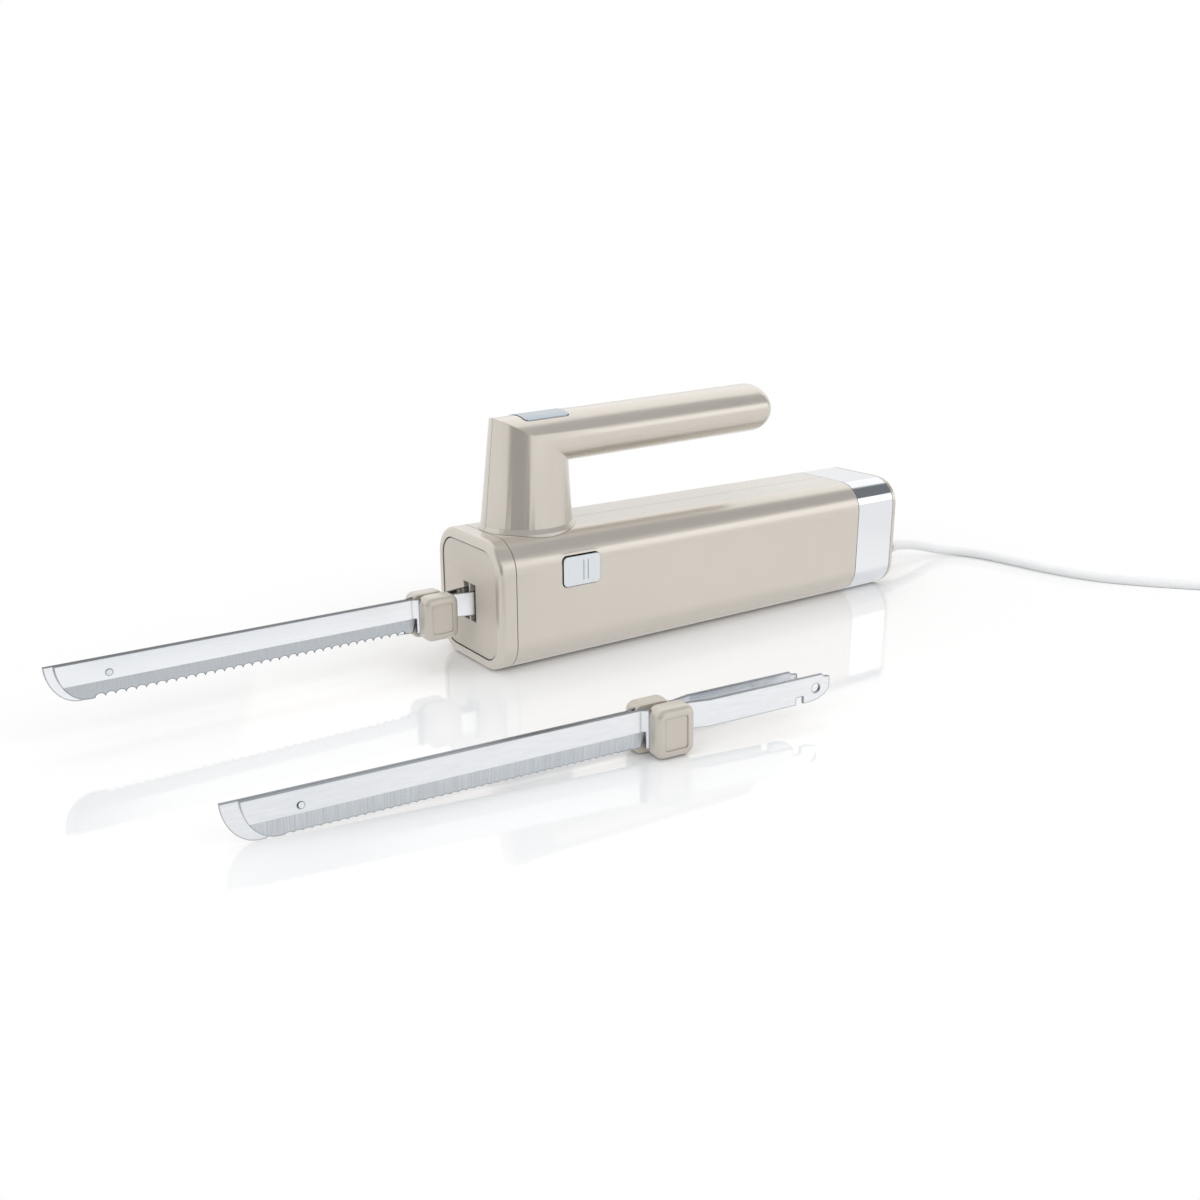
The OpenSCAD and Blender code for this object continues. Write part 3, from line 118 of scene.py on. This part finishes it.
def make_lead():
    points = lead_points()
    curve = bpy.data.curves.new("mains_lead", "CURVE")
    curve.dimensions = "3D"
    curve.bevel_depth = 1.0
    curve.bevel_resolution = 5
    curve.use_fill_caps = True
    curve.resolution_u = 5
    spline = curve.splines.new("BEZIER")
    spline.bezier_points.add(len(points) - 1)
    for knot, p in zip(spline.bezier_points, points):
        knot.co = p
        knot.radius = CORD_R
        knot.handle_left_type = knot.handle_right_type = "AUTO"
    lead = bpy.data.objects.new("mains_lead", curve)
    scene.collection.objects.link(lead)
    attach(lead, "body")
    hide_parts("cord_tube", "cord_coil")
    length = sum(math.dist(a, b) for a, b in zip(points, points[1:]))
    print("lead length", round(length, 4))
    return lead


lead = make_lead()


# Materials

def linear(rgb):
    return tuple((c / 255 / 12.92) if c <= 10 else ((c / 255 + 0.055) / 1.055) ** 2.4
                 for c in rgb) + (1.0,)


MASK_SAMPLES = 6        # samples of the masks for edges and creases
CREASE_REACH = 0.0012   # how far the painted shade in a groove or corner reaches
EDGE_R = 0.0004         # radius that plastic edges are softened to
COAT_ROUGH = 0.18
SEAM_HALF, SEAM_FADE, SEAM_DEEP = 0.00005, 0.0002, 0.0002


class Shader:
    """One node material: a Principled shader and short calls for the nodes that feed it."""

    def __init__(self, name):
        self.material = bpy.data.materials.new(name)
        self.material.use_nodes = True
        self.tree = self.material.node_tree
        self.tree.nodes.clear()
        self.out = self.tree.nodes.new("ShaderNodeOutputMaterial")
        self.bsdf = self.tree.nodes.new("ShaderNodeBsdfPrincipled")
        self.link(self.bsdf.outputs[0], self.out.inputs[0])
        self.coords = self.tree.nodes.new("ShaderNodeTexCoord").outputs["Object"]

    def link(self, source, target):
        self.tree.links.new(source, target)

    def node(self, kind, **inputs):
        made = self.tree.nodes.new("ShaderNode" + kind)
        for name, value in inputs.items():
            self.feed(made.inputs[name.replace("_", " ")], value)
        return made

    def feed(self, socket, value):
        if isinstance(value, bpy.types.NodeSocket):
            self.link(value, socket)
        else:
            socket.default_value = value

    def mapped(self, scale=(1, 1, 1), turn=0.0):
        return self.node("Mapping", Vector=self.coords, Scale=scale,
                         Rotation=(0, 0, math.radians(turn))).outputs[0]

    def noise(self, scale, detail=2.0, vector=None, rough=0.5):
        made = self.node("TexNoise", Scale=scale, Detail=detail, Roughness=rough)
        self.link(vector or self.coords, made.inputs["Vector"])
        return made.outputs[0]

    def spread(self, value, low, high, from_low=0.3, from_high=0.7):
        made = self.node("MapRange", Value=value)
        for name, number in (("From Min", from_low), ("From Max", from_high),
                             ("To Min", low), ("To Max", high)):
            made.inputs[name].default_value = number
        return made.outputs[0]

    def math(self, operation, a, b=0.0):
        made = self.tree.nodes.new("ShaderNodeMath")
        made.operation = operation
        self.feed(made.inputs[0], a)
        self.feed(made.inputs[1], b)
        return made.outputs[0]

    def vector_math(self, operation, *vectors):
        made = self.tree.nodes.new("ShaderNodeVectorMath")
        made.operation = operation
        for socket, vector in zip(made.inputs, vectors):
            self.link(vector, socket)
        return made.outputs["Value"]

    def mix(self, factor, a, b):
        made = self.tree.nodes.new("ShaderNodeMix")
        made.data_type = "RGBA"
        self.feed(made.inputs["Factor"], factor)
        self.feed(made.inputs["A"], a)
        self.feed(made.inputs["B"], b)
        return made.outputs["Result"]

    def parts(self, vector):
        return self.node("SeparateXYZ", Vector=vector).outputs

    def bump(self, height, distance, normal):
        return self.node("Bump", Height=height, Distance=distance, Strength=1.0,
                         Normal=normal).outputs[0]

    def rounded(self, radius):
        made = self.node("Bevel", Radius=radius)
        made.samples = MASK_SAMPLES
        return made.outputs[0]

    def edge(self, normal, full=0.86, none=0.995):
        """1 on edges and 0 on flat faces, from how far the rounded normal leans."""
        true = self.node("NewGeometry").outputs["Normal"]
        return self.spread(self.vector_math("DOT_PRODUCT", normal, true), 1.0, 0.0, full, none)

    def crease_shade_mask(self):
        """Mask for painted shade: 0 in grooves, gaps and along inner corners, and 1 on open faces.
        """
        made = self.node("AmbientOcclusion", Distance=CREASE_REACH)
        made.samples = MASK_SAMPLES
        return self.spread(made.outputs["AO"], 0, 1, 0.15, 0.85)

    def set(self, **values):
        for name, value in values.items():
            self.feed(self.bsdf.inputs[name.replace("_", " ")], value)

    def cover(self, factor, shader):
        """Shows another shader in place of the Principled one where the factor is 1."""
        blend = self.tree.nodes.new("ShaderNodeMixShader")
        for socket, source in zip(blend.inputs, (factor, self.bsdf.outputs[0], shader)):
            self.link(source, socket)
        self.link(blend.outputs[0], self.out.inputs[0])


def scaled(colour, factor, lift=0.0):
    """A linear colour made lighter or darker, kept at 1 or below."""
    return tuple(min(1, c * factor + lift) for c in colour[:3]) + (1,)


def shade_pair(colour, spread):
    base = linear(colour)
    return scaled(base, 1 - spread), scaled(base, 1 + spread)


def moulded(name, colour, rough=0.36, metallic=0.0, grain=0.00001, seam=False, mottle=0.02,
            coat=0.0, scale=2600, crease_shade=0.42):
    """Moulded plastic: fine grain, faint mottling, softened and slightly rubbed edges, and painted
    shade in grooves, gaps and inner corners.
    """
    s = Shader(name)
    base = linear(colour)
    dark, light = shade_pair(colour, mottle)
    shade = s.mix(s.spread(s.noise(55, 3), 0, 1), dark, light)
    normal = s.rounded(EDGE_R)
    rubbed = s.math("MULTIPLY", s.edge(normal), s.spread(s.noise(240, 3), 0, 0.2, 0.45, 0.75))
    shade = s.mix(rubbed, shade, scaled(base, 1.12, 0.02))
    rough_value = s.spread(s.noise(90, 4), rough - 0.02, rough + 0.02)
    # Painted shade: grooves, gaps and inner corners are darkened towards a darker copy of the base
    # colour.
    shade = s.mix(s.crease_shade_mask(), scaled(base, crease_shade), shade)
    if seam:
        y = s.math("ABSOLUTE", s.parts(s.coords)[1])
        line = s.spread(y, 1, 0, SEAM_HALF, SEAM_FADE)
        shade = s.mix(s.math("MULTIPLY", line, 0.55), shade, scaled(base, 0.3))
        normal = s.bump(line, -SEAM_DEEP, normal)
    normal = s.bump(s.noise(scale, 3), grain, normal)
    s.set(Base_Color=shade, Roughness=rough_value, Metallic=metallic, Normal=normal,
          Coat_Weight=coat, Coat_Roughness=COAT_ROUGH)
    return s.material


def metal(name, colour, rough=0.25, streaks=(1, 1, 1), grain=0.000004, radius=0.00015,
          spread=0.06, tone=0.06, scale=900, smudge=0.025):
    """Metal: streaks along the grinding direction, in tone, roughness and relief, and painted
    shade in grooves and inner corners.
    """
    s = Shader(name)
    lines = s.noise(scale, 4, s.mapped(streaks), 0.6)
    dark, light = shade_pair(colour, tone)
    rough_value = s.math("ADD", s.spread(lines, rough - spread, rough + spread),
                         s.spread(s.noise(28, 3), -smudge, smudge))
    normal = s.bump(lines, grain, s.rounded(radius))
    # Painted shade: grooves and inner corners are darkened to 0.35 of the dark tone.
    shade = s.mix(s.crease_shade_mask(), scaled(dark, 0.35), s.mix(s.spread(lines, 0, 1), dark, light))
    s.set(Base_Color=shade, Roughness=rough_value, Metallic=1.0, Normal=normal)
    return s.material


def blade_steel(name, turn, flat_tone, bevel_tone, edge_shade_tone):
    """Blade: polished flat, bevel ground across it and greyer, and painted shade that darkens the
    cut faces and an outline along the edges.
    """
    s = Shader(name)
    x, y, z = s.parts(s.mapped(turn=turn))
    flat_lines = s.noise(700, 4, s.mapped((0.02, 1, 1), turn), 0.6)
    squeezed = s.node("CombineXYZ", X=s.math("MULTIPLY", x, 3400), Y=s.math("MULTIPLY", y, 30),
                      Z=s.math("MULTIPLY", z, 40)).outputs[0]
    cross_lines = s.noise(1, 2, squeezed, 0.55)
    faces = s.parts(s.node("NewGeometry").outputs["Normal"])
    bevel = s.spread(s.math("ABSOLUTE", faces[2]), 0, 1, 0.05, 0.1)
    # Painted shade: faces that don't face the sides, such as the spine, the tooth edges and the
    # tip, are darkened.
    cut_shade = s.spread(s.math("ABSOLUTE", faces[1]), 1, 0, 0.3, 0.6)
    flat_col = s.mix(s.spread(flat_lines, 0, 1), *map(linear, flat_tone))
    bevel_col = s.mix(s.spread(cross_lines, 0, 1), *map(linear, bevel_tone))
    shade = s.mix(bevel, flat_col, bevel_col)
    # Painted shade: a dark outline along every edge, from how far the rounded normal leans.
    outline_shade = s.edge(s.rounded(0.0009), 0.93, 0.999)
    shade = s.mix(s.math("MAXIMUM", cut_shade, s.math("MULTIPLY", outline_shade, 0.9)), shade,
                  linear(edge_shade_tone))
    rough = s.math("ADD", s.spread(flat_lines, 0.16, 0.22), s.math("MULTIPLY", bevel, 0.1))
    relief = s.mix(bevel, flat_lines, cross_lines)
    s.set(Base_Color=shade, Metallic=1.0, Roughness=rough,
          Normal=s.bump(relief, 0.0000015, s.rounded(0.0001)))
    return s.material


def rivet_steel(name):
    """Rivet head: bright domed middle and a ring of painted shade where it meets the blade."""
    s = Shader(name)
    low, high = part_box(name)
    x, y, z = s.parts(s.coords)
    middle = s.node("CombineXYZ", X=s.math("SUBTRACT", x, (low[0] + high[0]) / 2), Y=0.0,
                    Z=s.math("SUBTRACT", z, (low[2] + high[2]) / 2)).outputs[0]
    reach = (high[2] - low[2]) / 2
    # Painted shade: a dark ring round the head where it meets the blade.
    rim_shade = s.spread(s.vector_math("LENGTH", middle), 0, 1, 0.56 * reach, 0.64 * reach)
    bright = s.mix(s.spread(s.noise(1400, 2), 0, 1), linear((226, 229, 232)),
                   linear((238, 240, 243)))
    s.set(Base_Color=s.mix(rim_shade, bright, linear((62, 66, 71))), Metallic=1.0,
          Roughness=s.spread(s.noise(300, 2), 0.2, 0.26), Normal=s.rounded(0.0003))
    return s.material


TAUPE = (207, 200, 190)
body_plastic = moulded("taupe_satin", TAUPE, 0.24, metallic=0.52, seam=True, grain=0.000002,
                       mottle=0.008, coat=0.5)
cap_plastic = moulded("taupe_cap", TAUPE, 0.24, metallic=0.52, grain=0.000002, mottle=0.008,
                      coat=0.5, crease_shade=0.62)
plate_plastic = moulded("taupe_plate", (208, 201, 191), 0.46, metallic=0.2, crease_shade=0.62)
hub_plastic = moulded("taupe_hub", (200, 193, 183), 0.36, metallic=0.35, grain=0.000006, coat=0.6)
satin_silver = metal("satin_silver", (216, 221, 226), 0.2, (1, 1, 0.04), 0.000002, radius=0.0003,
                     spread=0.03, tone=0.03)
trigger_silver = metal("trigger_silver", (178, 186, 193), 0.24, (1, 1, 0.04), 0.000002,
                       radius=0.0003, spread=0.03, tone=0.03)
chrome = metal("polished_chrome", (228, 230, 233), 0.05, (1, 1, 1), 0.0000002, spread=0.01,
               tone=0.008, smudge=0.01)
# The mounted and the loose blades are one steel in two sets of tones. This is painted light and
# shade for each pair: the loose pair's flats are darker and its cut faces lighter.
mounted_steel = blade_steel("blade_steel", 0, ((241, 243, 246), (248, 250, 253)),
                            ((172, 177, 182), (204, 208, 212)), (92, 96, 101))
spare_steel = blade_steel("spare_steel", 7.5, ((229, 231, 234), (237, 239, 242)),
                          ((186, 191, 196), (214, 218, 222)), (140, 145, 150))
plain_steel = metal("plain_steel", (172, 174, 178), 0.3, (0.1, 1, 1))
spring_steel = metal("spring_steel", (150, 152, 156), 0.3)
bronze = metal("bronze", (196, 160, 92), 0.34)
copper = metal("copper", (190, 118, 68), 0.34, (0.2, 1, 1))
stator_steel = metal("laminations", (112, 114, 118), 0.45, (1, 0.02, 0.02), 0.00003, scale=1600)
nylon = moulded("black_nylon", (52, 54, 57), 0.5)
acetal = moulded("acetal", (236, 233, 224), 0.4)
carbon = moulded("carbon", (38, 38, 40), 0.6)
board = moulded("board", (46, 98, 60), 0.42)
orange = moulded("film_orange", (214, 122, 38), 0.3, coat=0.4)
white_plastic = moulded("white_plastic", (232, 232, 230), 0.38)
white_cord = moulded("white_cord", (236, 237, 238), 0.42, mottle=0.012, grain=0.000006, scale=1800)
brown_lead = moulded("brown_lead", (112, 70, 42), 0.45)
black_lead = moulded("black_lead", (34, 34, 36), 0.45)
nickel = metal("nickel", (206, 205, 200), 0.18, (0.1, 1, 1))

FINISHES = {
    "taupe_plastic": body_plastic, "hub_plastic": hub_plastic, "satin_silver": satin_silver,
    "polished_chrome": chrome, "blade_steel": mounted_steel, "steel": plain_steel,
    "spring_steel": spring_steel, "bearing_bronze": bronze, "copper": copper, "brass": bronze,
    "laminated_steel": stator_steel, "acetal": acetal, "black_nylon": nylon, "carbon": carbon,
    "board": board, "orange_film": orange, "white_cord": white_cord,
    "white_plastic": white_plastic, "brown_lead": brown_lead, "black_lead": black_lead,
    "nickel": nickel,
}


def dress(piece, material):
    piece.data.materials.clear()
    piece.data.materials.append(material)


for entry in frame["record"]["subparts"]:
    dress(nodes[entry["node"]], FINISHES[entry["material_slot"]])
for name in ("front_cap", "rear_cap"):
    dress(nodes[name], cap_plastic)
dress(nodes["front_plate"], plate_plastic)
for name in ("spare_blade_left", "spare_blade_right"):
    dress(nodes[name], spare_steel)
dress(nodes["trigger_button"], trigger_silver)
for name in ("tip_rivet", "spare_rivet"):
    dress(nodes[name], rivet_steel(name))
dress(lead, white_cord)


# The far blade of each pair, with its teeth in line with the near blade's

def teeth_in_line(name, body, finish, tips, ends, move, start=(0, 0, 0), rise=0, turn=0):
    """A copy of the blade. In mm on the blade's own axes: tips is the top of the teeth, ends is
    where they start and end, and move is how far they go along it."""
    axes = (Matrix.Rotation(math.radians(turn), 3, "Z")
            @ Matrix.Rotation(math.radians(-rise), 3, "Y"))
    back = axes.inverted()
    mesh = nodes[name].data.copy()
    for vertex in mesh.vertices:
        x, y, z = back @ (1000 * vertex.co - Vector(start))
        if z < tips and ends[0] < x < ends[1]:
            vertex.co += axes @ Vector((move / 1000, 0, 0))
    made = bpy.data.objects.new(name + "_in_line", mesh)
    scene.collection.objects.link(made)
    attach(made, body)
    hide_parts(name)
    dress(made, finish)


teeth_in_line("blade_right", "blade_right", mounted_steel, 23.1, (-323.6, -173.7), -2.1)
teeth_in_line("spare_blade_right", "spare_right", spare_steel, 4.45, (-158.0, -11.6), -1.6,
              (-135.2, -144, 0.0565), 1.354, -7.5)


# Smooth shading of the pieces whose curved faces come as flat facets

FACETED = ["handle_left", "handle_right", "hub_left", "hub_right", "spare_hub_left",
           "spare_hub_right", "trigger_button", "trigger_spring", "release_spring_left",
           "release_spring_right", "brush_springs", "worm", "switch_leads", "mains_leads"]
SHARP_ANGLE = 25


def smoothing():
    """Joins the facets' edges and shades them smooth, except where they meet at a sharp angle."""
    group = bpy.data.node_groups.new("smooth_facets", "GeometryNodeTree")
    group.interface.new_socket("Geometry", in_out="INPUT", socket_type="NodeSocketGeometry")
    group.interface.new_socket("Geometry", in_out="OUTPUT", socket_type="NodeSocketGeometry")

    def node(kind):
        return group.nodes.new(kind)

    def join(a, b):
        group.links.new(a, b)

    strip = node("GeometryNodeRemoveAttribute")
    strip.inputs["Name"].default_value = "custom_normal"
    merge = node("GeometryNodeMergeByDistance")
    merge.inputs["Distance"].default_value = 0.000002
    faces = node("GeometryNodeSetShadeSmooth")
    edges = node("GeometryNodeSetShadeSmooth")
    edges.domain = "EDGE"
    edges.inputs["Shade Smooth"].default_value = False
    sharp = node("FunctionNodeCompare")
    sharp.operation = "GREATER_THAN"
    sharp.inputs["B"].default_value = math.radians(SHARP_ANGLE)
    join(node("GeometryNodeInputMeshEdgeAngle").outputs["Unsigned Angle"], sharp.inputs["A"])
    join(sharp.outputs["Result"], edges.inputs["Selection"])
    last = node("NodeGroupInput").outputs[0]
    for step in (strip, merge, faces, edges):
        join(last, step.inputs["Geometry"])
        last = step.outputs["Geometry"]
    join(last, node("NodeGroupOutput").inputs[0])
    return group


smooth_facets = smoothing()
for name in FACETED:
    nodes[name].modifiers.new("smooth", "NODES").node_group = smooth_facets


# Floor, light and world

FOOTPRINTS = [
    ((-0.139, -0.032), (0.139, 0.032)),     # body
    ((-0.345, -0.006), (-0.139, 0.006)),    # mounted blades
    ((-0.19, -0.16), (0.07, -0.14)),        # loose pair
]
FADE_NEAR, FADE_FAR = 0.02, 0.19
FLOOR_HALF, FLOOR_GAP = 12.0, 0.0001
BACKDROP_NEAR, BACKDROP_FAR = (-0.157, -0.617), (-0.686, -0.203)
BACKDROP_TOP, BACKDROP_FADE = 0.35, 0.08


def near_object(s):
    """1 on the floor at the pieces that stand on it or over it, falling to 0 away from them."""
    x, y, z = s.parts(s.coords)
    nearest = None
    for low, high in FOOTPRINTS:
        sides = []
        for value, a, b in ((x, low[0], high[0]), (y, low[1], high[1])):
            off = s.math("SUBTRACT", s.math("ABSOLUTE", s.math("SUBTRACT", value, (a + b) / 2)),
                         (b - a) / 2)
            off = s.math("MAXIMUM", off, 0.0)
            sides.append(s.math("MULTIPLY", off, off))
        distance = s.math("SQRT", s.math("ADD", *sides))
        nearest = distance if nearest is None else s.math("MINIMUM", nearest, distance)
    made = s.node("MapRange", Value=nearest)
    made.interpolation_type = "SMOOTHSTEP"
    for name, number in (("From Min", FADE_NEAR), ("From Max", FADE_FAR),
                         ("To Min", 1), ("To Max", 0)):
        made.inputs[name].default_value = number
    return made.outputs[0]


def plane(name, corners):
    mesh = bpy.data.meshes.new(name)
    mesh.from_pydata(corners, [], [(0, 1, 2, 3)])
    made = bpy.data.objects.new(name, mesh)
    scene.collection.objects.link(made)
    return made


def make_floor():
    """White gloss floor. Away from the object the camera and reflections see it as plain white."""
    far = FLOOR_HALF
    floor = plane("floor", [(-far, -far, 0), (far, -far, 0), (far, far, 0), (-far, far, 0)])
    floor.location.z = -FLOOR_GAP
    s = Shader("floor_white")
    shade = s.mix(s.spread(s.noise(1.5, 2), 0, 1), (0.892, 0.914, 0.938, 1),
                  (0.902, 0.924, 0.948, 1))
    s.set(Base_Color=shade, Roughness=s.spread(s.noise(3, 2), 0.05, 0.07), IOR=2.1,
          Specular_Tint=(1.0, 0.82, 0.62, 1))
    white = s.node("Emission", Color=(1, 1, 1, 1), Strength=1.0).outputs[0]
    path = s.node("LightPath").outputs
    near = near_object(s)
    seen = s.math("MULTIPLY", path["Is Camera Ray"], s.math("SUBTRACT", 1.0, near))
    mirrored = s.math("MULTIPLY", path["Is Glossy Ray"],
                      s.math("SUBTRACT", 1.0, s.math("MULTIPLY", near, 0.45)))
    s.cover(s.math("MAXIMUM", seen, mirrored), white)
    floor.data.materials.append(s.material)


def make_backdrop():
    """Dark backdrop beside the camera. Only reflections on the object's rounded fronts show it."""
    s = Shader("backdrop_dark")
    s.set(Base_Color=(0.02, 0.02, 0.022, 1), Roughness=0.8)
    near, far, top = BACKDROP_NEAR, BACKDROP_FAR, BACKDROP_TOP
    along = s.parts(s.coords)[0]
    fade = s.math("MAXIMUM", s.spread(along, 0, 1, near[0] - BACKDROP_FADE, near[0]),
                  s.spread(along, 1, 0, far[0], far[0] + BACKDROP_FADE))
    s.cover(s.math("MAXIMUM", fade, s.node("NewGeometry").outputs["Backfacing"]),
            s.node("BsdfTransparent").outputs[0])
    dark = plane("backdrop", [(*near, 0), (*far, 0), (*far, top), (*near, top)])
    dark.visible_camera = dark.visible_diffuse = dark.visible_shadow = False
    dark.visible_transmission = False
    dark.data.materials.append(s.material)


def area_light(name, place, target, size, power, reflected=True):
    data = bpy.data.lights.new(name, "AREA")
    data.shape = "RECTANGLE"
    data.size, data.size_y = size
    data.energy = power
    lamp = bpy.data.objects.new(name, data)
    lamp.location = place
    lamp.visible_glossy = reflected
    lamp.rotation_mode = "QUATERNION"
    lamp.rotation_quaternion = (Vector(target) - Vector(place)).to_track_quat("-Z", "Y")
    scene.collection.objects.link(lamp)


def make_world():
    """White all round, with a dark strip of ceiling along the object for reflections."""
    world = bpy.data.worlds.new("studio")
    scene.world = world
    world.use_nodes = True
    tree = world.node_tree
    tree.nodes.clear()

    def node(kind, **inputs):
        made = tree.nodes.new("ShaderNode" + kind)
        for name, value in inputs.items():
            socket = made.inputs[name.replace("_", " ")]
            if isinstance(value, bpy.types.NodeSocket):
                tree.links.new(value, socket)
            else:
                socket.default_value = value
        return made

    def math_node(operation, a, b):
        made = tree.nodes.new("ShaderNodeMath")
        made.operation = operation
        for socket, value in zip(made.inputs, (a, b)):
            if isinstance(value, bpy.types.NodeSocket):
                tree.links.new(value, socket)
            else:
                socket.default_value = value
        return made.outputs[0]

    def step(value, low, high, start, end):
        made = node("MapRange", Value=value, From_Min=low, From_Max=high, To_Min=start, To_Max=end)
        made.interpolation_type = "SMOOTHSTEP"
        return made.outputs[0]

    out = node("OutputWorld")
    x, y, z = node("SeparateXYZ", Vector=node("TexCoord").outputs["Generated"]).outputs
    across = math_node("DIVIDE", y, math_node("MAXIMUM", z, 0.02))
    strip = math_node("MULTIPLY", step(across, -1.28, -1.12, 0, 1), step(across, 0.04, 0.16, 1, 0))
    strip = math_node("MULTIPLY", strip, step(z, 0.05, 0.2, 0, 1))
    path = node("LightPath").outputs
    shown = math_node("MAXIMUM", path["Is Camera Ray"], path["Is Glossy Ray"])
    dark = math_node("MULTIPLY", strip, path["Is Glossy Ray"])
    lit = node("Background", Color=(1, 1, 1, 1), Strength=0.62).outputs[0]
    seen = node("Background", Color=(1, 1, 1, 1), Strength=1.0).outputs[0]
    ceiling = node("Background", Color=(0.2, 0.215, 0.23, 1), Strength=1.0).outputs[0]
    for factor, other in ((shown, seen), (dark, ceiling)):
        blend = tree.nodes.new("ShaderNodeMixShader")
        tree.links.new(factor, blend.inputs[0])
        tree.links.new(lit, blend.inputs[1])
        tree.links.new(other, blend.inputs[2])
        lit = blend.outputs[0]
    tree.links.new(lit, out.inputs[0])


make_floor()
make_backdrop()
make_world()
area_light("key", (1.5, -1.15, 0.66), (0, -0.05, 0.05), (1.8, 0.6), 2.1)
area_light("back", (1.0, 0.98, 1.25), (0, 0, 0), (2.4, 1.2), 1.9)
area_light("front", (0.3, -1.2, 1.1), (0, -0.05, 0.05), (1.6, 1.0), 7, reflected=False)
area_light("top", (0.0, 0.1, 1.5), (0, 0, 0), (1.6, 1.2), 6, reflected=False)
area_light("fill", (-1.3, -0.45, 0.8), (-0.1, 0, 0.05), (1.2, 1.0), 6, reflected=False)
scene.view_settings.view_transform = "Standard"

bpy.context.view_layer.update()
